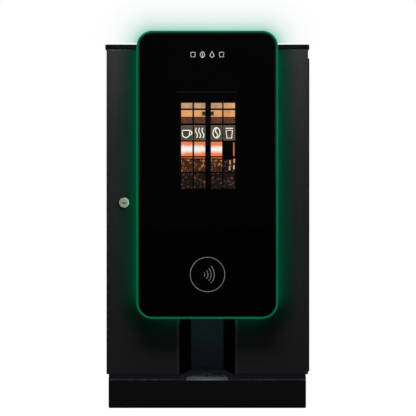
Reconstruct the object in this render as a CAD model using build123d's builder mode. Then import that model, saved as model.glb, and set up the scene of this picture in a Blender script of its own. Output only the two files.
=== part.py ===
from build123d import *
import math
import os

# Counter-top hot coffee vending machine, bean to cup, with a floating lit glass front.
# Frame: +Z up, the front faces -Y, the origin is on the ground under the middle of the outer box.
# All sizes are in millimetres.

os.makedirs("parts", exist_ok=True)

# ---- driving dimensions -------------------------------------------------------------------
SHEET = 1.5  # cabinet sheet metal
WALL = 2.5  # moulded plastic walls
RUNNING = 0.06  # radial clearance of a shaft in its bore

CABINET_HALF = 225.0  # half the width of the door and of the side panels
LID_HALF = 228.0  # the lid stands 3 mm past the sides
TOP_Z = 812.0  # top of the lid
LID_Z = 802.0  # underside of the lid
DECK_Z = 801.5  # top of the cabinet's top deck
BASE_HALF = 220.5  # half the width of the base
BASE_TOP = 74.0
BASE_FRONT = -240.0
BASE_BACK = 258.0
FOOT_HEIGHT = 3.0  # the base clears the ground by this much
BEVEL_Z = 62.8  # bend line where the base's sloping top band begins
BEVEL_IN = 6.0

GLASS_FRONT = -280.0
GLASS_THICK = 5.0
GUIDE_FRONT = -279.5
PLATE_FRONT = -268.0
PLATE_REAR = -265.0
DOOR_FRONT = -243.0
DOOR_REAR = -215.0
CABINET_FRONT = -211.0
BACK_Y = 262.0  # outer face of the back panel
REAR_END = 280.0  # tip of the water inlet
DOOR_BOTTOM = 76.0
DOOR_TOP = 800.5

FASCIA_WIDTH = 312.0  # outside of the light guide
FASCIA_BOTTOM = 203.0
FASCIA_TOP = 838.0
FASCIA_RADIUS = 35.0
GUIDE_RIM = 5.7  # lit rim that shows round the glass
PLATE_INSET = 13.0
DISPLAY_Z = 595.0  # middle of the upright display
READER_Z = 300.5  # middle of the contactless reader

ALCOVE_CEILING = 232.0
ALCOVE_BACK = -149.0
ALCOVE_MOUTH_HALF = 62.0
ALCOVE_FRONT_HALF = 53.0
ALCOVE_BACK_HALF = 37.5
ALCOVE_THROAT = -236.0  # where the flared mouth meets the tapered walls
NOZZLE_Y = -190.0

HINGE_X = 225.2
HINGE_Y = -213.0
HINGE_BOTTOM = 82.0
HINGE_KNUCKLES = 14
KNUCKLE_LENGTH = 49.6
KNUCKLE_GAP = 0.4
KNUCKLE_RADIUS = 2.8
HINGE_PIN_RADIUS = 1.5
LEAF = 1.2
HINGE_TOP = HINGE_BOTTOM + HINGE_KNUCKLES * (KNUCKLE_LENGTH + KNUCKLE_GAP) - KNUCKLE_GAP

LID_AXIS_Y = 266.0
LID_AXIS_Z = 807.0
LID_REAR = 261.0
LID_HINGE_X = (-150.0, 150.0)

LOCK_X = -185.7
LOCK_Z = 458.6

BULKHEAD_Y = 88.0  # front face of the bulkhead
SHELF_Z = 558.0  # top face of the shelf
PANEL_Y = -108.0  # front face of the mixer panel that the shelf folds down into
COFFEE_X = -150.0  # centre line of the hopper outlet, the grinder and the brewer
GRINDER_Y = -60.0
BREW_Y = -123.0
SCREW_Y = -85.0
CANISTER_X = (-30.0, 70.0)
CANISTER_HALF = 46.0
CANISTER_FRONT = -135.0
CANISTER_BACK = 80.0
CANISTER_TOP = 750.0
AUGER_Z = 592.0
TROUGH_RADIUS = 22.0
MIXER_Y = -150.0
MIXER_Z = 455.0
BOWL_TOP = 535.0

FAN_X = -140.0
FAN_Z = 690.0
INLET_X = -150.0
INLET_Z = 118.0
POWER_X = 150.0
POWER_Z = 120.0


# ---- shared shapes --------------------------------------------------------------------------
def slab(x, y, z, mode=Mode.ADD):
    """A block that spans the three ranges."""
    with Locations(((x[0] + x[1]) / 2, (y[0] + y[1]) / 2, (z[0] + z[1]) / 2)):
        Box(x[1] - x[0], y[1] - y[0], z[1] - z[0], mode=mode)


def rod_x(y, z, radius, x, mode=Mode.ADD):
    """A cylinder along X."""
    with Locations(((x[0] + x[1]) / 2, y, z)):
        Cylinder(radius, x[1] - x[0], rotation=(0, 90, 0), mode=mode)


def rod_y(x, z, radius, y, mode=Mode.ADD):
    """A cylinder along Y."""
    with Locations((x, (y[0] + y[1]) / 2, z)):
        Cylinder(radius, y[1] - y[0], rotation=(90, 0, 0), mode=mode)


def rod_z(x, y, radius, z, mode=Mode.ADD):
    """A cylinder along Z."""
    with Locations((x, y, (z[0] + z[1]) / 2)):
        Cylinder(radius, z[1] - z[0], mode=mode)


def facing(y):
    """The upright plane at y whose normal points to the front."""
    return Plane.XZ.offset(-y)


def save(piece, name):
    """Labels a finished piece and writes its STEP file."""
    piece.part.label = name
    export_step(piece.part, f"parts/{name}.step")


# ---- base: the plinth that carries everything ------------------------------------------------
PLAN_FRONT = -232.0
PLAN_BACK = -156.0
PLAN_FRONT_HALF = 44.0
PLAN_BACK_HALF = 31.0
LEDGE_TOP = 60.8
TRAY_TOP = 62.8
TRAY_FLOOR = 30.0
LIP_HALF = 46.0
BASE_WALL = 2.0
FOOT_PLACES = [(x, y) for x in (-190.0, 190.0) for y in (-205.0, 225.0)]
BOLT_PLACES = [(x, y) for x in (-170.0, 170.0) for y in (-160.0, 160.0)]
BOLT_RADIUS = 4.25


def tray_plan(grow, mode=Mode.ADD):
    """The tapered outline of the drip tray seen from above, larger by grow on each side."""
    Polygon(
        (-PLAN_FRONT_HALF - grow, PLAN_FRONT - grow),
        (PLAN_FRONT_HALF + grow, PLAN_FRONT - grow),
        (PLAN_BACK_HALF + grow, PLAN_BACK + grow),
        (-PLAN_BACK_HALF - grow, PLAN_BACK + grow),
        align=None,
        mode=mode,
    )


def tray_solid(grow, z, mode=Mode.ADD):
    """The tapered outline made solid between two heights."""
    with BuildSketch(Plane.XY.offset(z[0])) as plan:
        tray_plan(grow)
    extrude(plan.sketch, amount=z[1] - z[0], mode=mode)


def base_section(inset):
    """The base's side view, smaller by inset all round."""
    Polygon(
        (BASE_FRONT + inset, FOOT_HEIGHT + inset),
        (BASE_FRONT + inset, BEVEL_Z - 0.25 * inset),
        (BASE_FRONT + BEVEL_IN + 0.6 * inset, BASE_TOP - inset),
        (BASE_BACK - inset, BASE_TOP - inset),
        (BASE_BACK - inset, FOOT_HEIGHT + inset),
        align=None,
    )


with BuildPart() as base_housing:
    with BuildSketch(Plane.YZ.offset(-BASE_HALF)):
        base_section(0)
    extrude(amount=2 * BASE_HALF)
    with BuildSketch(Plane.YZ.offset(-BASE_HALF + BASE_WALL)):
        base_section(BASE_WALL)
    extrude(amount=2 * (BASE_HALF - BASE_WALL), mode=Mode.SUBTRACT)
    # well that the drip tray drops into, open at the front above its ledge
    tray_solid(7.5, (LEDGE_TOP - 2, BASE_TOP))
    tray_solid(5.5, (LEDGE_TOP, BASE_TOP + 1), mode=Mode.SUBTRACT)
    slab((-49, 49), (BASE_FRONT - 1, PLAN_FRONT), (LEDGE_TOP, BASE_TOP + 1), mode=Mode.SUBTRACT)
    tray_solid(0.8, (LEDGE_TOP - 3, LEDGE_TOP + 1), mode=Mode.SUBTRACT)
    # open floor, foot sockets and bolt holes
    floor_cut = (FOOT_HEIGHT - 1, FOOT_HEIGHT + BASE_WALL + 1)
    slab((-140, 140), (-120, 140), floor_cut, mode=Mode.SUBTRACT)
    for place in FOOT_PLACES:
        rod_z(*place, 9.0, floor_cut, mode=Mode.SUBTRACT)
    for place in BOLT_PLACES:
        rod_z(*place, BOLT_RADIUS, floor_cut, mode=Mode.SUBTRACT)
save(base_housing, "base_housing")

with BuildPart() as rubber_feet:
    for place in FOOT_PLACES:
        rod_z(*place, 19.0, (0, FOOT_HEIGHT))
        rod_z(*place, 8.8, (FOOT_HEIGHT, FOOT_HEIGHT + 8))
    ground_edges = rubber_feet.edges().filter_by(GeomType.CIRCLE).filter_by_position(Axis.Z, -0.1, 0.1)
    chamfer(ground_edges, 1.0)
save(rubber_feet, "rubber_feet")

# ---- drip tray and grille: both lift straight up out of the well -----------------------------
GRILLE_TOP = 67.0
GRILLE_SLOTS = 10
GRILLE_PITCH = 7.0

with BuildPart() as drip_tray:
    tray_solid(0, (TRAY_FLOOR, TRAY_TOP))
    tray_solid(4, (LEDGE_TOP, TRAY_TOP))
    slab((-LIP_HALF, LIP_HALF), (BASE_FRONT + 0.4, PLAN_FRONT), (LEDGE_TOP, TRAY_TOP))
    tray_solid(-2, (TRAY_FLOOR + 2, TRAY_TOP + 1), mode=Mode.SUBTRACT)
save(drip_tray, "drip_tray")

with BuildPart() as drip_grille:
    tray_solid(2.5, (TRAY_TOP, GRILLE_TOP))
    tray_solid(1.3, (TRAY_TOP - 1, GRILLE_TOP - 1.2), mode=Mode.SUBTRACT)
    for row in range(GRILLE_SLOTS):
        slot_y = PLAN_FRONT + 6.5 + row * GRILLE_PITCH
        share = (slot_y - PLAN_FRONT) / (PLAN_BACK - PLAN_FRONT)
        slot_half = PLAN_FRONT_HALF + share * (PLAN_BACK_HALF - PLAN_FRONT_HALF) - 5
        for side in (-1, 1):
            near, far = sorted((side * 2.5, side * slot_half))
            slab(
                (near, far),
                (slot_y - 1.7, slot_y + 1.7),
                (GRILLE_TOP - 2, GRILLE_TOP + 1),
                mode=Mode.SUBTRACT,
            )
save(drip_grille, "drip_grille")

# ---- cabinet: floor pan, sides, back, top deck, bulkhead and shelf ---------------------------
FLOOR_TOP = BASE_TOP + SHEET
PANEL_BOTTOM = FLOOR_TOP
PANEL_TOP = DECK_Z - SHEET
INNER_HALF = CABINET_HALF - SHEET
INNER_BACK = BACK_Y - SHEET
FLANGE = 22.0

with BuildPart() as floor_pan:
    slab((-INNER_HALF, INNER_HALF), (CABINET_FRONT + SHEET, INNER_BACK), (BASE_TOP, FLOOR_TOP))
    slab((-66, 66), (CABINET_FRONT, -143), (BASE_TOP - 1, FLOOR_TOP + 1), mode=Mode.SUBTRACT)
save(floor_pan, "floor_pan")


def side_panel(side):
    """A side panel with returns at the front, back, top and bottom; side is -1 or +1."""
    outer = side * CABINET_HALF
    inner = side * INNER_HALF
    lip = side * (CABINET_HALF - FLANGE)
    wall = sorted((outer, inner))
    slab(wall, (CABINET_FRONT, INNER_BACK), (BASE_TOP, PANEL_TOP))
    slab(sorted((outer, lip)), (CABINET_FRONT, CABINET_FRONT + SHEET), (BASE_TOP, PANEL_TOP))
    slab(sorted((inner, lip)), (CABINET_FRONT + 1, INNER_BACK), (PANEL_TOP - SHEET, PANEL_TOP))
    slab(sorted((inner, lip)), (INNER_BACK - SHEET, INNER_BACK), (FLOOR_TOP, PANEL_TOP - SHEET))
    # ventilation slots low at the back
    for row in range(8):
        slot_z = 150 + row * 16
        with BuildSketch(Plane.YZ.offset(min(wall) - 1)) as vent:
            with Locations((195, slot_z)):
                SlotOverall(70, 5)
        extrude(vent.sketch, amount=SHEET + 2, mode=Mode.SUBTRACT)


with BuildPart() as left_side_panel:
    side_panel(-1)
save(left_side_panel, "left_side_panel")

with BuildPart() as right_side_panel:
    side_panel(1)
    rod_z(HINGE_X, HINGE_Y, KNUCKLE_RADIUS + 0.4, (HINGE_BOTTOM - 4, HINGE_TOP + 4), mode=Mode.SUBTRACT)
save(right_side_panel, "right_side_panel")

with BuildPart() as back_panel:
    slab((-CABINET_HALF, CABINET_HALF), (INNER_BACK, BACK_Y), (BASE_TOP, PANEL_TOP))
    for ring in range(1, 5):
        with BuildSketch(facing(BACK_Y + 1)):
            with Locations((FAN_X, FAN_Z)):
                with PolarLocations(ring * 12, ring * 6):
                    Circle(3.6)
        extrude(amount=SHEET + 2, mode=Mode.SUBTRACT)
    rod_y(INLET_X, INLET_Z, 15.0, (INNER_BACK - 1, BACK_Y + 1), mode=Mode.SUBTRACT)
    slab(
        (POWER_X - 27, POWER_X + 27),
        (INNER_BACK - 1, BACK_Y + 1),
        (POWER_Z - 14, POWER_Z + 14),
        mode=Mode.SUBTRACT,
    )
save(back_panel, "back_panel")

with BuildPart() as top_deck:
    slab((-CABINET_HALF, CABINET_HALF), (CABINET_FRONT, BACK_Y), (PANEL_TOP, DECK_Z))
    slab(
        (-INNER_HALF + FLANGE, INNER_HALF - FLANGE),
        (CABINET_FRONT, CABINET_FRONT + SHEET),
        (772, PANEL_TOP),
    )
    slab((-200, 200), (-180, 82), (PANEL_TOP - 1, DECK_Z + 1), mode=Mode.SUBTRACT)
    hole_edges = top_deck.edges().filter_by(Axis.Z).filter_by_position(Axis.Y, -181, 83)
    fillet(hole_edges.filter_by_position(Axis.X, -201, 201), 12)
save(top_deck, "top_deck")

with BuildPart() as bulkhead:
    slab((-INNER_HALF, INNER_HALF), (BULKHEAD_Y, BULKHEAD_Y + SHEET), (FLOOR_TOP, PANEL_TOP - SHEET))
    for canister_x in CANISTER_X:
        rod_y(canister_x, AUGER_Z, 6.0, (BULKHEAD_Y - 1, BULKHEAD_Y + 3), mode=Mode.SUBTRACT)
    slab((-30, 30), (BULKHEAD_Y - 1, BULKHEAD_Y + 3), (95, 135), mode=Mode.SUBTRACT)
save(bulkhead, "bulkhead")

with BuildPart() as shelf:
    slab((-INNER_HALF, INNER_HALF), (PANEL_Y, BULKHEAD_Y), (SHELF_Z - 2, SHELF_Z))
    slab((-84, 128), (PANEL_Y, PANEL_Y + SHEET), (236, SHELF_Z - 2))
    rod_z(COFFEE_X, GRINDER_Y, 12.0, (SHELF_Z - 3, SHELF_Z + 1), mode=Mode.SUBTRACT)
    for canister_x in CANISTER_X:
        rod_y(canister_x, MIXER_Z, 8.0, (PANEL_Y - 1, PANEL_Y + 3), mode=Mode.SUBTRACT)
save(shelf, "shelf")

# ---- door hinge: a piano hinge down the right side -------------------------------------------


def knuckle_span(index):
    """Height range of one knuckle, counted from the bottom."""
    low = HINGE_BOTTOM + index * (KNUCKLE_LENGTH + KNUCKLE_GAP)
    return (low, low + KNUCKLE_LENGTH)


def hinge_leaf(first, leaf_y):
    """A leaf that owns every second knuckle from first, with its plate between the leaf_y values."""
    slab((200, HINGE_X - KNUCKLE_RADIUS - 0.4), leaf_y, (HINGE_BOTTOM, HINGE_TOP))
    for index in range(first, HINGE_KNUCKLES, 2):
        span = knuckle_span(index)
        slab((HINGE_X - KNUCKLE_RADIUS - 1, HINGE_X), leaf_y, span)
        rod_z(HINGE_X, HINGE_Y, KNUCKLE_RADIUS, span)
    rod_z(
        HINGE_X,
        HINGE_Y,
        HINGE_PIN_RADIUS + RUNNING,
        (HINGE_BOTTOM - 1, HINGE_TOP + 1),
        mode=Mode.SUBTRACT,
    )
    for index in range(7):
        rod_y(
            211,
            HINGE_BOTTOM + 50 + index * 100,
            2.2,
            (leaf_y[0] - 1, leaf_y[1] + 1),
            mode=Mode.SUBTRACT,
        )


with BuildPart() as hinge_cabinet_leaf:
    hinge_leaf(0, (CABINET_FRONT - LEAF, CABINET_FRONT))
save(hinge_cabinet_leaf, "hinge_cabinet_leaf")

with BuildPart() as hinge_door_leaf:
    hinge_leaf(1, (DOOR_REAR, DOOR_REAR + LEAF))
save(hinge_door_leaf, "hinge_door_leaf")

with BuildPart() as hinge_pin:
    rod_z(HINGE_X, HINGE_Y, HINGE_PIN_RADIUS, (HINGE_BOTTOM - 1, HINGE_TOP + 0.5))
    rod_z(HINGE_X, HINGE_Y, 2.7, (HINGE_BOTTOM - 2, HINGE_BOTTOM))
save(hinge_pin, "hinge_pin")

# ---- door: outer pan, liner, seal and cup station --------------------------------------------
NOTCH_TOP = ALCOVE_CEILING + WALL + 1

with BuildPart() as door_panel:
    slab((-CABINET_HALF, CABINET_HALF), (DOOR_FRONT, DOOR_REAR), (DOOR_BOTTOM, DOOR_TOP))
    face_edges = door_panel.edges().filter_by_position(Axis.Y, DOOR_FRONT - 0.1, DOOR_FRONT + 0.1)
    fillet(face_edges, 1.6)
    inner_x = (-CABINET_HALF + SHEET, CABINET_HALF - SHEET)
    slab(
        inner_x,
        (DOOR_FRONT + SHEET, DOOR_REAR - SHEET),
        (DOOR_BOTTOM + SHEET, DOOR_TOP - SHEET),
        mode=Mode.SUBTRACT,
    )
    slab(
        (-209, 198),
        (DOOR_REAR - 2, DOOR_REAR + 1),
        (DOOR_BOTTOM + 14, DOOR_TOP - 14),
        mode=Mode.SUBTRACT,
    )
    slab((-66, 66), (DOOR_FRONT - 1, DOOR_REAR + 1), (DOOR_BOTTOM - 1, NOTCH_TOP + 3), mode=Mode.SUBTRACT)
    rod_y(LOCK_X, LOCK_Z, 9.6, (DOOR_FRONT - 1, DOOR_FRONT + 3), mode=Mode.SUBTRACT)
    rod_z(HINGE_X, HINGE_Y, KNUCKLE_RADIUS + 0.4, (HINGE_BOTTOM - 4, HINGE_TOP + 4), mode=Mode.SUBTRACT)
save(door_panel, "door_panel")

with BuildPart() as door_liner:
    slab((-208, 197), (DOOR_REAR - 3, DOOR_REAR - 1.5), (DOOR_BOTTOM + 15, DOOR_TOP - 15))
    slab((-67, 67), (DOOR_REAR - 4, DOOR_REAR), (DOOR_BOTTOM, NOTCH_TOP + 4), mode=Mode.SUBTRACT)
    rod_y(LOCK_X, LOCK_Z, 13.0, (DOOR_REAR - 4, DOOR_REAR), mode=Mode.SUBTRACT)
    for height in (300, 620):
        slab((-55, 55), (DOOR_REAR - 3, DOOR_REAR - 0.2), (height, height + 110))
save(door_liner, "door_liner")

with BuildPart() as door_seal:
    slab((-219, 196), (DOOR_REAR, CABINET_FRONT - 0.5), (DOOR_BOTTOM + 8, DOOR_TOP - 6))
    slab((-213, 190), (DOOR_REAR - 1, CABINET_FRONT + 1), (DOOR_BOTTOM, DOOR_TOP - 12), mode=Mode.SUBTRACT)
save(door_seal, "door_seal")


def alcove_walls(grow, z, mode=Mode.ADD):
    """The cup station's plan, flared mouth and tapered walls, made solid between two heights."""
    with BuildSketch(Plane.XY.offset(z[0])) as plan:
        Polygon(
            (-ALCOVE_MOUTH_HALF - grow, DOOR_FRONT - 1.2),
            (ALCOVE_MOUTH_HALF + grow, DOOR_FRONT - 1.2),
            (ALCOVE_FRONT_HALF + grow, ALCOVE_THROAT),
            (ALCOVE_BACK_HALF + grow, ALCOVE_BACK + grow),
            (-ALCOVE_BACK_HALF - grow, ALCOVE_BACK + grow),
            (-ALCOVE_FRONT_HALF - grow, ALCOVE_THROAT),
            align=None,
        )
    extrude(plan.sketch, amount=z[1] - z[0], mode=mode)


with BuildPart() as cup_station:
    alcove_walls(WALL, (DOOR_BOTTOM + 1, ALCOVE_CEILING + WALL))
    slab((-69, 69), (DOOR_FRONT - 1.2, DOOR_FRONT), (DOOR_BOTTOM + 1, NOTCH_TOP + 6))
    alcove_walls(0, (DOOR_BOTTOM, ALCOVE_CEILING), mode=Mode.SUBTRACT)
    rod_z(0, NOZZLE_Y, 24.0, (ALCOVE_CEILING - 1, ALCOVE_CEILING + WALL + 1), mode=Mode.SUBTRACT)
save(cup_station, "cup_station")

# ---- floating front: standoffs, steel plate, light guide, strip, glass, display, reader ------
FASCIA_HEIGHT = FASCIA_TOP - FASCIA_BOTTOM
FASCIA_Z = (FASCIA_TOP + FASCIA_BOTTOM) / 2


def fascia_outline(inset, mode=Mode.ADD):
    """The rounded outline of the front, smaller by inset all round."""
    with Locations((0, FASCIA_Z)):
        RectangleRounded(
            FASCIA_WIDTH - 2 * inset,
            FASCIA_HEIGHT - 2 * inset,
            FASCIA_RADIUS - inset,
            mode=mode,
        )


def fascia_layer(inset, y, mode=Mode.ADD):
    """A plate of the front's outline, between two depths."""
    with BuildSketch(facing(y[1])) as outline:
        fascia_outline(inset)
    extrude(outline.sketch, amount=y[1] - y[0], mode=mode)


STANDOFF_PLACES = [(x, z) for x in (-120.0, 120.0) for z in (250.0, 520.0, 770.0)]

with BuildPart() as standoffs:
    for x, z in STANDOFF_PLACES:
        rod_y(x, z, 9.0, (PLATE_REAR, DOOR_FRONT))
save(standoffs, "standoffs")

with BuildPart() as fascia_plate:
    fascia_layer(PLATE_INSET, (PLATE_FRONT, PLATE_REAR))
    slab(
        (-74, 74),
        (PLATE_FRONT - 1, PLATE_REAR + 1),
        (DISPLAY_Z - 116, DISPLAY_Z + 116),
        mode=Mode.SUBTRACT,
    )
    rod_y(0, READER_Z, 45.0, (PLATE_FRONT - 1, PLATE_REAR + 1), mode=Mode.SUBTRACT)
save(fascia_plate, "fascia_plate")

with BuildPart() as light_guide:
    fascia_layer(0, (GUIDE_FRONT, PLATE_FRONT))
    fascia_layer(PLATE_INSET, (GUIDE_FRONT - 1, PLATE_FRONT + 1), mode=Mode.SUBTRACT)
    fascia_layer(GUIDE_RIM, (GUIDE_FRONT - 1, GLASS_FRONT + GLASS_THICK), mode=Mode.SUBTRACT)
    front_edges = light_guide.edges().filter_by_position(Axis.Y, GUIDE_FRONT - 0.1, GUIDE_FRONT + 0.1)
    fillet(front_edges.sort_by(Axis.X)[0], 1.2)
    # the plate carries the guide on a lip under its rear face
    fascia_layer(PLATE_INSET - 6, (PLATE_FRONT, PLATE_REAR))
    fascia_layer(PLATE_INSET, (PLATE_FRONT - 1, PLATE_REAR + 1), mode=Mode.SUBTRACT)
save(light_guide, "light_guide")

with BuildPart() as led_strip:
    fascia_layer(PLATE_INSET + 0.2, (-274.5, PLATE_FRONT))
    fascia_layer(PLATE_INSET + 2.2, (-275.5, PLATE_FRONT + 1), mode=Mode.SUBTRACT)
save(led_strip, "led_strip")

with BuildPart() as glass_panel:
    fascia_layer(GUIDE_RIM + 0.2, (GLASS_FRONT, GLASS_FRONT + GLASS_THICK))
    rim = glass_panel.edges().filter_by_position(Axis.Y, GLASS_FRONT - 0.1, GLASS_FRONT + 0.1)
    chamfer(rim, 0.6)
save(glass_panel, "glass_panel")

with BuildPart() as display_module:
    slab((-72.5, 72.5), (-275, -262), (DISPLAY_Z - 114.5, DISPLAY_Z + 114.5))
    slab((-50, 50), (-262, -256), (DISPLAY_Z - 80, DISPLAY_Z + 40))
save(display_module, "display_module")

with BuildPart() as contactless_reader:
    rod_y(0, READER_Z, 43.0, (-275, -263))
    slab((-24, 24), (-263, -257), (READER_Z - 18, READER_Z + 18))
save(contactless_reader, "contactless_reader")

# ---- door lock: housing, turning cylinder and cam --------------------------------------------
LOCK_BORE = 6.5
CAM_FRONT = -206.5
CAM_BACK = -204.0

with BuildPart() as lock_housing:
    rod_y(LOCK_X, LOCK_Z, 11.3, (DOOR_FRONT - 3.2, DOOR_FRONT))
    bezel = lock_housing.edges().filter_by_position(Axis.Y, DOOR_FRONT - 3.3, DOOR_FRONT - 3.1)
    fillet(bezel, 1.4)
    rod_y(LOCK_X, LOCK_Z, 9.4, (DOOR_FRONT, -209))
    rod_y(LOCK_X, LOCK_Z, 12.6, (DOOR_FRONT + SHEET, DOOR_FRONT + SHEET + 5))
    rod_y(LOCK_X, LOCK_Z, LOCK_BORE + RUNNING, (DOOR_FRONT - 4, -208), mode=Mode.SUBTRACT)
save(lock_housing, "lock_housing")

with BuildPart() as lock_cylinder:
    rod_y(LOCK_X, LOCK_Z, LOCK_BORE, (DOOR_FRONT - 2.6, CAM_FRONT))
    slab(
        (LOCK_X - 4.2, LOCK_X + 4.2),
        (DOOR_FRONT - 3, DOOR_FRONT + 10),
        (LOCK_Z - 0.8, LOCK_Z + 0.8),
        mode=Mode.SUBTRACT,
    )
save(lock_cylinder, "lock_cylinder")

with BuildPart() as lock_cam:
    with BuildSketch(facing(CAM_BACK)):
        with Locations((LOCK_X, LOCK_Z - 13)):
            SlotOverall(44, 15, rotation=90)
    extrude(amount=CAM_BACK - CAM_FRONT)
    rod_y(LOCK_X, LOCK_Z, 5.0, (CAM_BACK, CAM_BACK + 3))
save(lock_cam, "lock_cam")

# ---- top lid and its two rear hinges ---------------------------------------------------------
with BuildPart() as top_lid:
    slab((-LID_HALF, LID_HALF), (DOOR_FRONT, LID_REAR), (LID_Z, TOP_Z))
    fillet(top_lid.edges().filter_by(Axis.Z), 4)
    fillet(top_lid.edges().filter_by_position(Axis.Z, TOP_Z - 0.1, TOP_Z + 0.1), 2)
    inner = LID_HALF - 1.8
    slab((-inner, inner), (DOOR_FRONT + 1.8, LID_REAR - 1.8), (LID_Z - 1, TOP_Z - 1.8), mode=Mode.SUBTRACT)
    for x in LID_HINGE_X:
        slab((x - 7.6, x + 7.6), (LID_REAR - 1, LID_AXIS_Y), (LID_AXIS_Z, LID_AXIS_Z + 4))
        rod_x(LID_AXIS_Y, LID_AXIS_Z, 4.0, (x - 7.6, x + 7.6))
        rod_x(LID_AXIS_Y, LID_AXIS_Z, 2.0 + RUNNING, (x - 9, x + 9), mode=Mode.SUBTRACT)
save(top_lid, "top_lid")

with BuildPart() as lid_hinges:
    for x in LID_HINGE_X:
        slab((x - 20, x + 20), (BACK_Y, BACK_Y + SHEET), (760, 796))
        for side in (-1, 1):
            near, far = sorted((x + side * 8, x + side * 20))
            slab((near, far), (BACK_Y, BACK_Y + 3), (790, LID_AXIS_Z))
            rod_x(LID_AXIS_Y, LID_AXIS_Z, 4.0, (near, far))
        rod_x(LID_AXIS_Y, LID_AXIS_Z, 2.0, (x - 21, x + 21))
save(lid_hinges, "lid_hinges")

# ---- coffee side: hopper, grinder, brewer and grounds bin ------------------------------------
HOPPER_X = (-214.0, -88.0)
HOPPER_Y = (-135.0, 74.0)
HOPPER_TOP = 788.0
HOPPER_SHOULDER = 724.0
HOPPER_OUTLET_Z = 642.0
HOPPER_SEAM = 0.05  # between the funnel and the frame on it


def hopper_plan(inset):
    """The hopper's plan, smaller by inset all round."""
    width = HOPPER_X[1] - HOPPER_X[0] - 2 * inset
    depth = HOPPER_Y[1] - HOPPER_Y[0] - 2 * inset
    with Locations(((HOPPER_X[0] + HOPPER_X[1]) / 2, (HOPPER_Y[0] + HOPPER_Y[1]) / 2)):
        RectangleRounded(width, depth, 6 - inset)


def hopper_funnel(inset, low, mode=Mode.ADD):
    """The hopper's funnel as a solid shape, smaller by inset all round."""
    with BuildSketch(Plane.XY.offset(HOPPER_SHOULDER)) as shoulder:
        hopper_plan(inset)
    with BuildSketch(Plane.XY.offset(low)) as outlet:
        with Locations((COFFEE_X, GRINDER_Y)):
            RectangleRounded(44 - 2 * inset, 44 - 2 * inset, 6 - inset)
    loft([shoulder.sketch, outlet.sketch], mode=mode)


with BuildPart() as bean_hopper:
    hopper_funnel(0, HOPPER_OUTLET_Z)
    hopper_funnel(WALL, HOPPER_OUTLET_Z - 0.01, mode=Mode.SUBTRACT)
    # the straight upper part is a frame of its own that stands on the funnel
    with BuildSketch(Plane.XY.offset(HOPPER_SHOULDER + HOPPER_SEAM)) as walls:
        hopper_plan(0)
    extrude(walls.sketch, amount=HOPPER_TOP - HOPPER_SHOULDER - HOPPER_SEAM)
    with BuildSketch(Plane.XY.offset(HOPPER_SHOULDER + 0.01)) as inside:
        hopper_plan(WALL)
    extrude(inside.sketch, amount=HOPPER_TOP - HOPPER_SHOULDER + 1, mode=Mode.SUBTRACT)
save(bean_hopper, "bean_hopper")

with BuildPart() as grinder_housing:
    rod_z(COFFEE_X, GRINDER_Y, 44.0, (SHELF_Z, 628))
    rod_z(COFFEE_X, GRINDER_Y, 30.0, (628, HOPPER_OUTLET_Z))
    rod_z(COFFEE_X, GRINDER_Y, 19.0, (600, HOPPER_OUTLET_Z + 1), mode=Mode.SUBTRACT)
    rod_z(COFFEE_X, GRINDER_Y, 36.0, (570, 612), mode=Mode.SUBTRACT)
    rod_z(COFFEE_X, GRINDER_Y, 5.0 + RUNNING, (SHELF_Z - 1, 571), mode=Mode.SUBTRACT)
    # chute that carries the ground coffee forward and down to the brewer
    chute_front = BREW_Y - 39
    slab((COFFEE_X - 15, COFFEE_X + 15), (chute_front, GRINDER_Y - 38), (574, 600))
    slab((COFFEE_X - 15, COFFEE_X + 15), (chute_front, chute_front + 30), (440, 600))
    slab(
        (COFFEE_X - 12.5, COFFEE_X + 12.5),
        (chute_front + 2.5, GRINDER_Y - 30),
        (576.5, 597.5),
        mode=Mode.SUBTRACT,
    )
    slab(
        (COFFEE_X - 12.5, COFFEE_X + 12.5),
        (chute_front + 2.5, chute_front + 27.5),
        (439, 590),
        mode=Mode.SUBTRACT,
    )
save(grinder_housing, "grinder_housing")

with BuildPart() as grinder_burr:
    rod_z(COFFEE_X, GRINDER_Y, 5.0, (SHELF_Z - 8, 590))
    rod_z(COFFEE_X, GRINDER_Y, 34.0, (576, 582))
    with Locations((COFFEE_X, GRINDER_Y, 587)):
        Cone(31, 20, 10)
        with PolarLocations(28, 12):
            Box(14, 2.2, 12, rotation=(0, 0, 35), mode=Mode.SUBTRACT)
save(grinder_burr, "grinder_burr")

with BuildPart() as grinder_motor:
    rod_z(COFFEE_X, GRINDER_Y, 36.0, (466, SHELF_Z - 2))
    rod_z(COFFEE_X, GRINDER_Y, 10.0, (458, 466))
    rod_z(COFFEE_X, GRINDER_Y, 5.0 + RUNNING, (SHELF_Z - 10, SHELF_Z), mode=Mode.SUBTRACT)
save(grinder_motor, "grinder_motor")

FRAME_X = (COFFEE_X - 52, COFFEE_X + 52)
FRAME_Y = (-166.0, -62.0)
FRAME_Z = (240.0, 434.0)
CHAMBER_Z = (300.0, 370.0)
CHAMBER_BORE = 21.0
SCREW_RADIUS = 5.0

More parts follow.
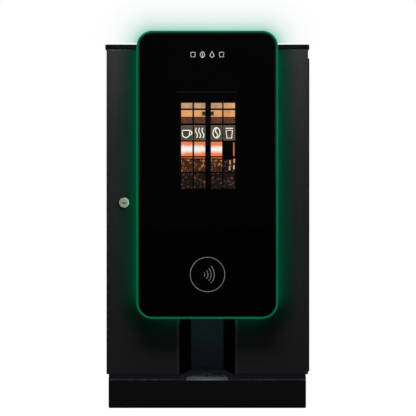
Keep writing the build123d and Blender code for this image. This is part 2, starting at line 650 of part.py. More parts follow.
with BuildPart() as brew_frame:
    for low in (FRAME_X[0], FRAME_X[1] - 3):
        slab((low, low + 3), FRAME_Y, FRAME_Z)
    slab(FRAME_X, (FRAME_Y[1] - 3, FRAME_Y[1]), FRAME_Z)
    slab(FRAME_X, (-100, FRAME_Y[1]), (FRAME_Z[1] - 3, FRAME_Z[1]))
    slab(FRAME_X, (-100, FRAME_Y[1]), (262, 266))
    slab((COFFEE_X - 40, COFFEE_X + 40), (-100, FRAME_Y[1]), (244, 262))
    for side in (-1, 1):
        near, far = sorted((COFFEE_X + side * 26, COFFEE_X + side * 50))
        slab((near, far), (BREW_Y - 12, BREW_Y + 12), (CHAMBER_Z[0] + 30, CHAMBER_Z[0] + 40))
    rod_z(COFFEE_X, BREW_Y, 27.0 + RUNNING, (CHAMBER_Z[0], CHAMBER_Z[1]), mode=Mode.SUBTRACT)
    # notch that the drink tube leaves by
    slab((FRAME_X[1] - 4, FRAME_X[1] + 1), (FRAME_Y[0] - 1, BREW_Y - 20), (276, 306), mode=Mode.SUBTRACT)
    rod_z(COFFEE_X, SCREW_Y, SCREW_RADIUS, (266, FRAME_Z[1] - 3))
save(brew_frame, "brew_frame")

with BuildPart() as brew_chamber:
    rod_z(COFFEE_X, BREW_Y, 27.0, CHAMBER_Z)
    rod_z(COFFEE_X, BREW_Y, 6.0, (CHAMBER_Z[0] - 10, CHAMBER_Z[0]))
    rod_z(
        COFFEE_X,
        BREW_Y,
        CHAMBER_BORE + RUNNING,
        (CHAMBER_Z[0] + 6, CHAMBER_Z[1] + 1),
        mode=Mode.SUBTRACT,
    )
    rod_z(COFFEE_X, BREW_Y, 3.5, (CHAMBER_Z[0] - 11, CHAMBER_Z[0] + 7), mode=Mode.SUBTRACT)
save(brew_chamber, "brew_chamber")

with BuildPart() as brew_piston:
    rod_z(COFFEE_X, BREW_Y, CHAMBER_BORE, (402, 414))
    slab((COFFEE_X - 9, COFFEE_X + 9), (BREW_Y, SCREW_Y), (414, 422))
    rod_z(COFFEE_X, SCREW_Y, 9.0, (404, 426))
    rod_z(COFFEE_X, SCREW_Y, SCREW_RADIUS + RUNNING, (403, 427), mode=Mode.SUBTRACT)
save(brew_piston, "brew_piston")

with BuildPart() as grounds_bin:
    bin_x = (-212, -92)
    bin_y = (-112, 70)
    slab(bin_x, bin_y, (76, 232))
    fillet(grounds_bin.edges().filter_by(Axis.Z), 8)
    slab(
        (bin_x[0] + WALL, bin_x[1] - WALL),
        (bin_y[0] + WALL, bin_y[1] - WALL),
        (76 + WALL, 233),
        mode=Mode.SUBTRACT,
    )
    slab((-182, -122), (bin_y[0] - 12, bin_y[0]), (196, 200))
    slab((-182, -122), (bin_y[0] - 12, bin_y[0] - 9), (180, 200))
save(grounds_bin, "grounds_bin")

# ---- powder side: canisters, lids, augers and their motors -----------------------------------
AUGER_PITCH = 24.0
FLIGHT_START = CANISTER_BACK - 16


def canister_solid(x, inset, y, top, mode=Mode.ADD):
    """A round trough that opens out to straight sides, made solid between two depths."""
    radius = TROUGH_RADIUS - inset
    half = CANISTER_HALF - inset
    with BuildSketch(Plane(origin=(x, y[1], AUGER_Z), x_dir=(1, 0, 0), z_dir=(0, -1, 0))) as section:
        with BuildLine():
            Polyline((-radius, 0), (-half, 56), (-half, top), (half, top), (half, 56), (radius, 0))
            ThreePointArc((radius, 0), (0, -radius), (-radius, 0))
        make_face()
    extrude(section.sketch, amount=y[1] - y[0], mode=mode)


for number, canister_x in enumerate(CANISTER_X, start=1):
    with BuildPart() as canister:
        canister_solid(canister_x, 0, (CANISTER_FRONT, CANISTER_BACK), CANISTER_TOP - AUGER_Z)
        canister_solid(
            canister_x,
            WALL,
            (CANISTER_FRONT + WALL, CANISTER_BACK - WALL),
            CANISTER_TOP - AUGER_Z + 1,
            mode=Mode.SUBTRACT,
        )
        # outlet elbow over the mixing bowl
        outlet_y = CANISTER_FRONT - 30
        rod_y(canister_x, AUGER_Z, 17.0, (outlet_y, CANISTER_FRONT))
        slab((canister_x - 12, canister_x + 12), (outlet_y + 1, outlet_y + 25), (AUGER_Z - 42, AUGER_Z))
        rod_y(canister_x, AUGER_Z, 14.5, (outlet_y + WALL, CANISTER_FRONT + 3), mode=Mode.SUBTRACT)
        slab(
            (canister_x - 9.5, canister_x + 9.5),
            (outlet_y + 3.5, outlet_y + 22.5),
            (AUGER_Z - 43, AUGER_Z),
            mode=Mode.SUBTRACT,
        )
        rod_y(
            canister_x,
            AUGER_Z,
            4.0 + RUNNING,
            (CANISTER_BACK - 4, CANISTER_BACK + 1),
            mode=Mode.SUBTRACT,
        )
        # runners that stand on the shelf
        for side in (-1, 1):
            near, far = sorted((canister_x + side * 8, canister_x + side * 20))
            slab((near, far), (PANEL_Y + 6, CANISTER_BACK - 6), (SHELF_Z, AUGER_Z - 16))
        canister_solid(
            canister_x,
            WALL,
            (CANISTER_FRONT + WALL, CANISTER_BACK - WALL),
            CANISTER_TOP - AUGER_Z + 1,
            mode=Mode.SUBTRACT,
        )
    save(canister, f"canister_{number}")

    with BuildPart() as auger:
        rod_y(canister_x, AUGER_Z, 4.0, (outlet_y + 6, BULKHEAD_Y + 8))
        with BuildLine():
            Helix(
                AUGER_PITCH,
                AUGER_PITCH * 8,
                7.8,
                center=(canister_x, FLIGHT_START, AUGER_Z),
                direction=(0, -1, 0),
            )
        with BuildSketch(Plane(origin=(canister_x + 7.8, FLIGHT_START, AUGER_Z), z_dir=(0, 0, 1))):
            Rectangle(9.6, 2.0)
        sweep(is_frenet=True)
    save(auger, f"auger_{number}")

with BuildPart() as canister_lids:
    for canister_x in CANISTER_X:
        half = CANISTER_HALF
        lid_y = (CANISTER_FRONT, CANISTER_BACK)
        slab((canister_x - half, canister_x + half), lid_y, (CANISTER_TOP, CANISTER_TOP + 3))
        slab(
            (canister_x - half + WALL + 0.3, canister_x + half - WALL - 0.3),
            (lid_y[0] + WALL + 0.3, lid_y[1] - WALL - 0.3),
            (CANISTER_TOP - 8, CANISTER_TOP),
        )
        slab((canister_x - 18, canister_x + 18), (-40, -30), (CANISTER_TOP + 3, CANISTER_TOP + 15))
save(canister_lids, "canister_lids")

with BuildPart() as auger_motors:
    for canister_x in CANISTER_X:
        rear = BULKHEAD_Y + SHEET
        slab((canister_x - 26, canister_x + 26), (rear, rear + 22), (AUGER_Z - 30, AUGER_Z + 30))
        rod_y(canister_x, AUGER_Z + 8, 16.0, (rear + 22, rear + 52))
        rod_y(canister_x, AUGER_Z, 4.0 + RUNNING, (rear - 1, rear + 12), mode=Mode.SUBTRACT)
save(auger_motors, "auger_motors")

# ---- mixing: bowls, impellers and whipper motors ---------------------------------------------
WHIP_RADIUS = 20.0
SHAFT_RADIUS = 3.0
MOTOR_RADIUS = 22.0

for number, canister_x in enumerate(CANISTER_X, start=1):
    with BuildPart() as mixing_bowl:
        with BuildSketch(Plane(origin=(canister_x, MIXER_Y, 0), x_dir=(1, 0, 0), z_dir=(0, -1, 0))):
            Polygon(
                (0, MIXER_Z),
                (12, MIXER_Z),
                (12, 482),
                (36, 516),
                (36, BOWL_TOP),
                (0, BOWL_TOP),
                align=None,
            )
        revolve(axis=Axis((canister_x, MIXER_Y, 0), (0, 0, 1)))
        rod_y(canister_x, MIXER_Z, WHIP_RADIUS, (-170, PANEL_Y))
        rod_z(canister_x, -162, 6.0, (424, MIXER_Z))
        with BuildSketch(Plane(origin=(canister_x, MIXER_Y, 0), x_dir=(1, 0, 0), z_dir=(0, -1, 0))):
            Polygon(
                (0, MIXER_Z),
                (9.5, MIXER_Z),
                (9.5, 483),
                (33.5, 517),
                (33.5, BOWL_TOP + 1),
                (0, BOWL_TOP + 1),
                align=None,
            )
        revolve(axis=Axis((canister_x, MIXER_Y, 0), (0, 0, 1)), mode=Mode.SUBTRACT)
        rod_y(canister_x, MIXER_Z, WHIP_RADIUS - WALL, (-170 + WALL, PANEL_Y - 4), mode=Mode.SUBTRACT)
        rod_z(canister_x, -162, 4.0, (423, MIXER_Z), mode=Mode.SUBTRACT)
        rod_y(canister_x, MIXER_Z, SHAFT_RADIUS + RUNNING, (-115, PANEL_Y + 1), mode=Mode.SUBTRACT)
    save(mixing_bowl, f"mixing_bowl_{number}")

    with BuildPart() as impeller:
        rod_y(canister_x, MIXER_Z, SHAFT_RADIUS, (-160, PANEL_Y + 9))
        rod_y(canister_x, MIXER_Z, 14.0, (-148, -145.5))
        for blade in range(4):
            with BuildSketch(facing(-148)):
                with Locations((canister_x, MIXER_Z)):
                    with PolarLocations(8.5, 1, start_angle=blade * 90):
                        Rectangle(10, 1.6)
            extrude(amount=10)
    save(impeller, f"impeller_{number}")

with BuildPart() as mixer_motors:
    for canister_x in CANISTER_X:
        rear = PANEL_Y + SHEET
        rod_y(canister_x, MIXER_Z, MOTOR_RADIUS, (rear, rear + 46))
        rod_y(canister_x, MIXER_Z, 9.0, (rear + 46, rear + 52))
        rod_y(canister_x, MIXER_Z, SHAFT_RADIUS + RUNNING, (rear - 1, rear + 12), mode=Mode.SUBTRACT)
save(mixer_motors, "mixer_motors")

# ---- drink outlet: spout head on its arm, and the tubes that feed it -------------------------
HEAD_BOTTOM = 238.0
HEAD_TOP = 262.0
SPOUT_X = (-16.0, 0.0, 16.0)
TUBE_OUTER = 5.0
TUBE_BORE = 3.5

with BuildPart() as spout_head:
    slab((-28, 28), (NOZZLE_Y - 13, NOZZLE_Y + 13), (HEAD_BOTTOM + 8, HEAD_TOP - 8))
    fillet(spout_head.edges().filter_by(Axis.Z), 10)
    slab((-12, 12), (NOZZLE_Y + 8, PANEL_Y), (HEAD_BOTTOM + 9, HEAD_TOP - 9))
    slab((-20, 20), (PANEL_Y - 3, PANEL_Y), (HEAD_BOTTOM, HEAD_TOP + 14))
    for x in SPOUT_X:
        rod_z(x, NOZZLE_Y, 6.0, (HEAD_BOTTOM, HEAD_TOP))
    for x in SPOUT_X:
        rod_z(x, NOZZLE_Y, TUBE_BORE, (HEAD_BOTTOM - 1, HEAD_TOP + 1), mode=Mode.SUBTRACT)
save(spout_head, "spout_head")

TUBE_ROUTES = [
    [(CANISTER_X[0], -162, 424), (CANISTER_X[0], -162, 370), (0, NOZZLE_Y, 320), (0, NOZZLE_Y, HEAD_TOP)],
    [
        (CANISTER_X[1], -162, 424),
        (CANISTER_X[1], -162, 370),
        (16, NOZZLE_Y, 310),
        (16, NOZZLE_Y, HEAD_TOP),
    ],
    [
        (COFFEE_X, BREW_Y, 290),
        (COFFEE_X, BREW_Y, 272),
        (-70, -175, 300),
        (-16, NOZZLE_Y, 300),
        (-16, NOZZLE_Y, HEAD_TOP),
    ],
]

with BuildPart() as drink_tubes:
    for route in TUBE_ROUTES:
        with BuildLine() as centre_line:
            FilletPolyline(*route, radius=8)
        with BuildSketch(Plane(origin=centre_line.line @ 0, z_dir=centre_line.line % 0)):
            Circle(TUBE_OUTER)
            Circle(TUBE_BORE, mode=Mode.SUBTRACT)
        sweep(path=centre_line.line)
save(drink_tubes, "drink_tubes")

# ---- behind the bulkhead: water, power and cooling -------------------------------------------
BOILER_X = 120.0
BOILER_Y = 175.0

with BuildPart() as boiler:
    rod_z(BOILER_X, BOILER_Y, 55.0, (150, 370))
    fillet(boiler.edges().filter_by(GeomType.CIRCLE), 14)
    slab((BOILER_X - 45, BOILER_X + 45), (BULKHEAD_Y + SHEET, BOILER_Y - 40), (190, 330))
    for dx, dy in ((-20, 0), (20, 0), (0, 20)):
        rod_z(BOILER_X + dx, BOILER_Y + dy, 7.0, (369, 388))
    rod_z(BOILER_X, BOILER_Y, 7.0, (136, 151))
save(boiler, "boiler")

with BuildPart() as pump:
    slab((-80, -20), (140, 200), (FLOOR_TOP, FLOOR_TOP + 6))
    rod_y(-50, 112, 24.0, (146, 194))
    slab((-62, -38), (150, 190), (FLOOR_TOP + 6, 100))
    rod_y(-50, 112, 7.0, (124, 216))
save(pump, "pump")

with BuildPart() as inlet_valve:
    rod_y(INLET_X, INLET_Z, 13.2, (BACK_Y - 10, REAR_END))
    rod_y(INLET_X, INLET_Z, 18.0, (BACK_Y - 8, INNER_BACK))
    slab((INLET_X - 20, INLET_X + 20), (206, BACK_Y - 8), (INLET_Z - 16, INLET_Z + 16))
    slab((INLET_X - 14, INLET_X + 14), (210, 242), (INLET_Z + 16, INLET_Z + 52))
    # lock nut outside the back panel
    with BuildSketch(facing(BACK_Y + 4)):
        with Locations((INLET_X, INLET_Z)):
            RegularPolygon(19, 6)
    extrude(amount=4)
    rod_y(INLET_X, INLET_Z, 9.0, (BACK_Y - 4, REAR_END + 1), mode=Mode.SUBTRACT)
save(inlet_valve, "inlet_valve")

with BuildPart() as power_supply:
    slab((-205, -85), (BULKHEAD_Y + SHEET, BULKHEAD_Y + 46), (400, 560))
    slab((-203, -87), (BULKHEAD_Y + 4, BULKHEAD_Y + 44), (402, 558), mode=Mode.SUBTRACT)
    for row in range(7):
        for column in range(5):
            rod_y(
                -185 + column * 20,
                420 + row * 20,
                4.0,
                (BULKHEAD_Y + 40, BULKHEAD_Y + 50),
                mode=Mode.SUBTRACT,
            )
save(power_supply, "power_supply")

with BuildPart() as control_board:
    slab((INNER_HALF - 34, INNER_HALF), (-70, 70), (300, 520))
    slab((INNER_HALF - 36, INNER_HALF - 4), (-66, 66), (304, 516), mode=Mode.SUBTRACT)
    slab((INNER_HALF - 14, INNER_HALF - 12), (-60, 60), (310, 510))
    for y, z in ((-56, 316), (56, 316), (-56, 504), (56, 504)):
        rod_x(y, z, 3.0, (INNER_HALF - 12, INNER_HALF - 4))
    slab((INNER_HALF - 26, INNER_HALF - 14), (-30, 10), (360, 400))
    slab((INNER_HALF - 24, INNER_HALF - 14), (-50, 50), (470, 486))
save(control_board, "control_board")

FAN_HALF = 60.0
FAN_Y = (INNER_BACK - 25, INNER_BACK)

with BuildPart() as fan_frame:
    slab((FAN_X - FAN_HALF, FAN_X + FAN_HALF), FAN_Y, (FAN_Z - FAN_HALF, FAN_Z + FAN_HALF))
    fillet(fan_frame.edges().filter_by(Axis.Y), 8)
    rod_y(FAN_X, FAN_Z, 57.0, (FAN_Y[0] - 1, FAN_Y[1] + 1), mode=Mode.SUBTRACT)
    rod_y(FAN_X, FAN_Z, 20.0, (FAN_Y[0], FAN_Y[0] + 4))
    for spoke in range(4):
        with BuildSketch(facing(FAN_Y[0] + 3)):
            with Locations((FAN_X, FAN_Z)):
                with PolarLocations(39, 1, start_angle=spoke * 90 + 20):
                    Rectangle(40, 4)
        extrude(amount=3)
    rod_y(FAN_X, FAN_Z, 3.0, (FAN_Y[0] + 3, FAN_Y[0] + 16))
save(fan_frame, "fan_frame")

with BuildPart() as fan_rotor:
    rod_y(FAN_X, FAN_Z, 19.0, (FAN_Y[0] + 5, FAN_Y[0] + 21))
    for blade in range(7):
        angle = math.radians(blade * 360 / 7)
        outward = Vector(math.cos(angle), 0, math.sin(angle))
        across = Vector(-math.sin(angle), 0, math.cos(angle)) + Vector(0, 0.75, 0)
        root_point = Vector(FAN_X, FAN_Y[0] + 13, FAN_Z) + outward * 17
        with BuildSketch(Plane(origin=root_point, x_dir=across, z_dir=outward)):
            Rectangle(19, 1.8)
        extrude(amount=37.5)
    rod_y(FAN_X, FAN_Z, 3.0 + RUNNING, (FAN_Y[0] + 4, FAN_Y[0] + 17), mode=Mode.SUBTRACT)
save(fan_rotor, "fan_rotor")

ROCKER_X = POWER_X + 17
ROCKER_Y = BACK_Y - 1.0

with BuildPart() as power_inlet:
    slab((POWER_X - 34, POWER_X + 34), (BACK_Y, BACK_Y + 2.5), (POWER_Z - 17, POWER_Z + 17))
    slab((POWER_X - 26.5, POWER_X + 26.5), (BACK_Y - 26, BACK_Y), (POWER_Z - 13.5, POWER_Z + 13.5))
    slab(
        (POWER_X - 22, POWER_X + 4),
        (BACK_Y - 18, BACK_Y + 3),
        (POWER_Z - 9, POWER_Z + 9),
        mode=Mode.SUBTRACT,
    )
    slab(
        (ROCKER_X - 7, ROCKER_X + 7),
        (BACK_Y - 16, BACK_Y + 3),
        (POWER_Z - 12.4, POWER_Z + 12.4),
        mode=Mode.SUBTRACT,
    )
    for dx, dz in ((-7, -2), (7, -2), (0, 3)):
        slab(
            (POWER_X - 9 + dx - 1, POWER_X - 9 + dx + 1),
            (BACK_Y - 18, BACK_Y - 3),
            (POWER_Z + dz - 2.5, POWER_Z + dz + 2.5),
        )
save(power_inlet, "power_inlet")

with BuildPart() as switch_rocker:
    with BuildSketch(Plane.YZ.offset(ROCKER_X - 6.4)):
        with Locations((ROCKER_Y, POWER_Z)):
            Polygon(
                (-7, -5),
                (-7, 5),
                (1.4, 10.2),
                (4.2, 10.2),
                (2.4, 0),
                (0.6, -10.2),
                (-2, -10.2),
                align=None,
            )
    extrude(amount=12.8)
    rod_x(ROCKER_Y - 2.5, POWER_Z, 1.6, (ROCKER_X - 6.9, ROCKER_X + 6.9))
save(switch_rocker, "switch_rocker")
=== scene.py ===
"""The looks of a counter-top hot coffee vending machine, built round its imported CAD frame."""

import math
import random

import bmesh
import bpy
from mathutils import Matrix, Vector


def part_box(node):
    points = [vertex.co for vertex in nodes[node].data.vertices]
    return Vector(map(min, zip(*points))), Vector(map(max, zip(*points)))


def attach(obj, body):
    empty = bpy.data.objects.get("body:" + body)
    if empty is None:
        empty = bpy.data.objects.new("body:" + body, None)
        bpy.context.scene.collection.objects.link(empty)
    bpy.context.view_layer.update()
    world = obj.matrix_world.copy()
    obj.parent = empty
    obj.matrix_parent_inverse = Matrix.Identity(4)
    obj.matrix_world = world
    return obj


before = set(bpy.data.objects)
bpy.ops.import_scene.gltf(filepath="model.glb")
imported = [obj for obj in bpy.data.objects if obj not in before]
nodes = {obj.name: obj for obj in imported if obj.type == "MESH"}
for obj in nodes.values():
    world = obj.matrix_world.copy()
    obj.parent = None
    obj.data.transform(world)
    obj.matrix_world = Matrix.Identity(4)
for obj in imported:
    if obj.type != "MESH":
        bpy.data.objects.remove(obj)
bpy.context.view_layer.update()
random.seed(7)

MM = 0.001

# ---- places, all read from the frame
GUIDE_LOW, GUIDE_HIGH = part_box("light_guide")
DOOR_LOW, DOOR_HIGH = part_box("door_panel")
SCREEN_LOW, SCREEN_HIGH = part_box("display_module")
READER_LOW, READER_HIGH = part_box("contactless_reader")
LOCK_LOW, LOCK_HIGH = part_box("lock_housing")
BASE_LOW, BASE_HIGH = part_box("base_housing")
TRAY_LOW, TRAY_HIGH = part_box("drip_tray")
GUIDE_MIDDLE = (GUIDE_LOW + GUIDE_HIGH) / 2
GUIDE_WIDTH = GUIDE_HIGH.x - GUIDE_LOW.x
GUIDE_HEIGHT = GUIDE_HIGH.z - GUIDE_LOW.z
GUIDE_RADIUS = 35 * MM
GLASS_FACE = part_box("glass_panel")[0].y
LID_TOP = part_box("top_lid")[1].z
BACK_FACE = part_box("back_panel")[1].y
ALCOVE_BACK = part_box("cup_station")[1].y
PRINT_DEPTH = 0.12 * MM  # thickness of what is printed or shown on the glass


# ---- camera and studio
CAMERA_DISTANCE = 3.0  # from the door's face
VIEW_WIDTH = 0.928  # seen at the door's face
SENSOR = 36.0
EYE = (0.0016, DOOR_LOW.y - CAMERA_DISTANCE, 0.447)


def make_camera():
    """A long lens straight at the front, level with the middle of the picture."""
    data = bpy.data.cameras.new("camera")
    data.sensor_width = SENSOR
    data.lens = SENSOR * CAMERA_DISTANCE / VIEW_WIDTH
    data.dof.use_dof = False
    camera = bpy.data.objects.new("camera", data)
    camera.location = EYE
    camera.rotation_euler = (math.radians(90), 0, 0)
    bpy.context.scene.collection.objects.link(camera)
    bpy.context.scene.camera = camera


def area_light(name, place, target, size, power, colour=(1, 1, 1)):
    """A soft rectangular lamp that looks at a point."""
    data = bpy.data.lights.new(name, "AREA")
    data.shape = "RECTANGLE"
    data.size, data.size_y = size
    data.energy = power
    data.color = colour
    lamp = bpy.data.objects.new(name, data)
    lamp.location = place
    lamp.rotation_euler = (Vector(target) - Vector(place)).to_track_quat("-Z", "Y").to_euler()
    bpy.context.scene.collection.objects.link(lamp)
    return lamp


def make_world():
    """Dim surroundings that look white where nothing stands in front of them."""
    world = bpy.data.worlds.new("studio")
    world.use_nodes = True
    tree = world.node_tree
    tree.nodes.clear()
    output, mix, path, room, white = (
        tree.nodes.new("ShaderNode" + kind)
        for kind in ("OutputWorld", "MixShader", "LightPath", "Background", "Background")
    )
    room.inputs["Color"].default_value = (0.9, 0.95, 1.0, 1)
    room.inputs["Strength"].default_value = 0.022
    white.inputs["Color"].default_value = (1, 1, 1, 1)
    tree.links.new(path.outputs["Is Camera Ray"], mix.inputs["Fac"])
    tree.links.new(room.outputs[0], mix.inputs[1])
    tree.links.new(white.outputs[0], mix.inputs[2])
    tree.links.new(mix.outputs[0], output.inputs["Surface"])
    bpy.context.scene.world = world


def make_lights():
    """A soft bank overhead, one close over the brow of the door, and fills for the sides and back."""
    area_light("overhead", (0, 0.0, 2.3), (0, 0, 0), (2.2, 2.0), 9)
    area_light("brow", (0, -0.8, 1.42), (0, -0.24, 0.7), (0.9, 0.3), 9.8)
    area_light("left_fill", (-2.4, 0.3, 1.3), (0, 0, 0.4), (1.2, 1.6), 12)
    area_light("right_fill", (2.4, 0.3, 1.3), (0, 0, 0.4), (1.2, 1.6), 12)
    area_light("back_fill", (0.4, 2.6, 1.5), (0, 0, 0.4), (1.6, 1.2), 22)
    cup_lamp = area_light("cup_lamp", (0, -0.222, 0.2315), (0, -0.215, 0), (0.05, 0.02), 0.002)
    cup_lamp.data.spread = math.radians(60)
    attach(cup_lamp, "door")


# ---- materials
class Shader:
    """Builds one node material around a Principled shader."""

    def __init__(self, name):
        self.material = bpy.data.materials.new(name)
        self.material.use_nodes = True
        self.tree = self.material.node_tree
        self.shader = self.tree.nodes["Principled BSDF"]
        self.coordinates = self.tree.nodes.new("ShaderNodeTexCoord").outputs["Object"]

    def node(self, kind, **settings):
        made = self.tree.nodes.new(kind)
        for key, value in settings.items():
            setattr(made, key, value)
        return made

    def link(self, source, target):
        self.tree.links.new(source, target)

    def set(self, **values):
        for key, value in values.items():
            self.shader.inputs[key.replace("_", " ")].default_value = value

    def noise(self, scale, detail=3.0, roughness=0.55, stretch=None, distortion=0.0):
        texture = self.node("ShaderNodeTexNoise")
        values = {"Scale": scale, "Detail": detail, "Roughness": roughness, "Distortion": distortion}
        for key, value in values.items():
            texture.inputs[key].default_value = value
        vector = self.coordinates
        if stretch:
            mapping = self.node("ShaderNodeMapping")
            mapping.inputs["Scale"].default_value = stretch
            self.link(vector, mapping.inputs["Vector"])
            vector = mapping.outputs["Vector"]
        self.link(vector, texture.inputs["Vector"])
        return texture.outputs["Fac"]

    def spread(self, value, low=0, high=1, start=0.3, end=0.7):
        """Maps a 0 to 1 pattern onto low to high."""
        ranged = self.node("ShaderNodeMapRange")
        for key, limit in (("From Min", start), ("From Max", end), ("To Min", low), ("To Max", high)):
            ranged.inputs[key].default_value = limit
        self.link(value, ranged.inputs["Value"])
        return ranged.outputs["Result"]

    def two_tone(self, fac, first, second):
        """Blends two colours, each a constant or another pattern."""
        mix = self.node("ShaderNodeMix", data_type="RGBA")
        self.link(fac, mix.inputs["Factor"])
        for name, tone in (("A", first), ("B", second)):
            socket = next(i for i in mix.inputs if i.name == name and i.type == "RGBA")
            if isinstance(tone, tuple):
                socket.default_value = (*tone, 1)
            else:
                self.link(tone, socket)
        return next(o for o in mix.outputs if o.type == "RGBA")

    def maths(self, operation, a, b=0.0):
        step = self.node("ShaderNodeMath", operation=operation)
        for socket, value in zip(step.inputs, (a, b)):
            if isinstance(value, (int, float)):
                socket.default_value = value
            else:
                self.link(value, socket)
        return step.outputs[0]

    def axis(self, name, output="Object"):
        split = self.node("ShaderNodeSeparateXYZ")
        self.link(self.tree.nodes["Texture Coordinate"].outputs[output], split.inputs[0])
        return split.outputs[name]

    def outside_front(self):
        """Distance outside the glass front's rounded outline."""
        parts = []
        for name, middle, size in (("X", GUIDE_MIDDLE.x, GUIDE_WIDTH), ("Z", GUIDE_MIDDLE.z, GUIDE_HEIGHT)):
            offset = self.maths("ABSOLUTE", self.maths("SUBTRACT", self.axis(name), middle))
            beyond = self.maths("SUBTRACT", offset, size / 2 - GUIDE_RADIUS)
            parts.append(self.maths("POWER", self.maths("MAXIMUM", beyond), 2.0))
        corner = self.maths("SQRT", self.maths("ADD", *parts))
        return self.maths("SUBTRACT", corner, GUIDE_RADIUS)

    def mottled(self, pattern, first, second):
        return self.two_tone(self.spread(pattern), first, second)

    def colour(self, source):
        self.link(source, self.shader.inputs["Base Color"])

    def emission(self, source, strength=1.0):
        self.link(source, self.shader.inputs["Emission Color"])
        self.set(Emission_Strength=strength)

    def specular(self, fac, low, high):
        """Specular level that goes from low to high as fac goes from 0 to 1."""
        self.link(self.spread(fac, low, high, 0, 1), self.shader.inputs["Specular IOR Level"])

    def surface(self, source):
        """Puts another shader in the place of the Principled one."""
        self.link(source, self.tree.nodes["Material Output"].inputs["Surface"])

    def roughness(self, pattern, low, high):
        self.link(self.spread(pattern, low, high), self.shader.inputs["Roughness"])

    def handled(self, low, high):
        """Roughness that varies with faint handling marks."""
        self.roughness(self.noise(28.0, detail=5, distortion=0.8), low, high)

    def relief(self, height, strength, distance, rounding=0.0):
        """Bump from a height pattern, over edges that are softened by rounding."""
        bump = self.node("ShaderNodeBump")
        bump.inputs["Strength"].default_value = strength
        bump.inputs["Distance"].default_value = distance
        self.link(height, bump.inputs["Height"])
        if rounding:
            bevel = self.node("ShaderNodeBevel", samples=4)
            bevel.inputs["Radius"].default_value = rounding
            self.link(bevel.outputs["Normal"], bump.inputs["Normal"])
        self.link(bump.outputs["Normal"], self.shader.inputs["Normal"])


def scaled(colour, factor):
    return tuple(channel * factor for channel in colour)


def powder_coat(name, colour, roughness, specular=0.5):
    """Sprayed sheet metal: orange peel, slow mottling and slightly uneven gloss."""
    s = Shader(name)
    mottle = s.noise(7.0, detail=5)
    s.colour(s.mottled(mottle, scaled(colour, 0.88), scaled(colour, 1.14)))
    smudge = s.noise(16.0, detail=6, distortion=0.6)
    s.roughness(smudge, roughness - 0.05, roughness + 0.07)
    s.set(Specular_IOR_Level=specular)
    s.relief(s.noise(900, detail=2), 0.22, 0.0004, rounding=0.0006)
    return s.material


def moulding(name, colour, roughness=0.5, texture=1400, strength=0.25, coat=0.0):
    """Moulded plastic with a fine spark texture and faint handling marks."""
    s = Shader(name)
    tone = s.noise(11.0, detail=4)
    s.colour(s.mottled(tone, scaled(colour, 0.9), scaled(colour, 1.12)))
    s.handled(roughness - 0.06, roughness + 0.08)
    s.set(Coat_Weight=coat, Coat_Roughness=0.06)
    s.relief(s.noise(texture, detail=2), strength, 0.0003, rounding=0.0005)
    return s.material


def brushed(name, colour, roughness=0.3, stretch=(4, 900, 900), metallic=1.0):
    """Brushed metal: long fine scratches along one direction."""
    s = Shader(name)
    lines = s.noise(1.0, detail=4, stretch=stretch)
    s.colour(s.mottled(lines, scaled(colour, 0.82), scaled(colour, 1.1)))
    s.roughness(lines, roughness - 0.07, roughness + 0.12)
    s.set(Metallic=metallic)
    s.relief(lines, 0.12, 0.0003, rounding=0.0004)
    return s.material


def polished(name, colour, roughness=0.07):
    """Plated metal with hazy patches."""
    s = Shader(name)
    haze = s.noise(45.0, detail=5)
    s.colour(s.mottled(haze, scaled(colour, 0.93), colour))
    s.roughness(haze, roughness, roughness + 0.08)
    s.set(Metallic=1.0)
    s.relief(haze, 0.03, 0.0002, rounding=0.0004)
    return s.material


def see_through(name, colour):
    """Smoked clear plastic with wiping marks."""
    s = Shader(name)
    marks = s.noise(30.0, detail=6, stretch=(1, 1, 6))
    s.colour(s.mottled(marks, scaled(colour, 0.85), colour))
    s.roughness(marks, 0.07, 0.24)
    s.set(Alpha=0.42, Specular_IOR_Level=0.6)
    s.relief(marks, 0.05, 0.0003, rounding=0.0006)
    return s.material


def glow(name, colour, strength, base):
    """A lit surface whose brightness drifts a little along it."""
    s = Shader(name)
    drift = s.noise(40.0, detail=2)
    s.emission(s.mottled(drift, scaled(colour, 0.88), scaled(colour, 1.12)), strength)
    s.set(Roughness=0.35, Base_Color=(*base, 1))
    return s.material


def black_glass():
    """Back-printed glass: deep black under a clear hard face, with faint wiping marks."""
    s = Shader("front_glass")
    depth = s.noise(5.0, detail=3)
    s.colour(s.mottled(depth, (0.0006, 0.0006, 0.0008), (0.0016, 0.0015, 0.0015)))
    wipe = s.noise(9.0, detail=7, stretch=(1, 1, 0.35), distortion=1.2)
    s.roughness(wipe, 0.015, 0.06)
    s.set(Specular_IOR_Level=0.42)
    s.relief(wipe, 0.01, 0.0002)
    return s.material


def coffee_bean():
    """Roasted bean: oily brown with darker blotches."""
    s = Shader("coffee_bean")
    blotch = s.noise(260.0, detail=4)
    s.colour(s.mottled(blotch, (0.025, 0.010, 0.004), (0.085, 0.036, 0.014)))
    s.roughness(blotch, 0.22, 0.42)
    s.relief(blotch, 0.2, 0.0004)
    return s.material


def powder(name, pale, dark):
    """Loose drink powder."""
    s = Shader(name)
    lumps = s.noise(320.0, detail=6, roughness=0.7)
    s.colour(s.mottled(lumps, dark, pale))
    s.roughness(lumps, 0.85, 1.0)
    s.relief(lumps, 0.7, 0.0012)
    return s.material


def door_coat_with_painted_shade(colour):
    """The cabinet's paint, with painted shade close round the glass front: held darker there and tinted
    teal for the green wash, with less specular.
    """
    s = Shader("door_paint_with_painted_shade")
    mottle = s.noise(7.0, detail=5)
    paint = s.mottled(mottle, scaled(colour, 0.88), scaled(colour, 1.14))
    # painted shade and painted green wash: close round the glass front the paint turns dark teal
    near = s.spread(s.outside_front(), start=0.008, end=0.05)
    s.colour(s.two_tone(near, (0.0012, 0.018, 0.0135), paint))
    s.specular(near, 0.02, 0.5)
    smudge = s.noise(16.0, detail=6, distortion=0.6)
    s.roughness(smudge, 0.38, 0.5)
    s.relief(s.noise(900, detail=2), 0.22, 0.0004, rounding=0.0006)
    return s.material


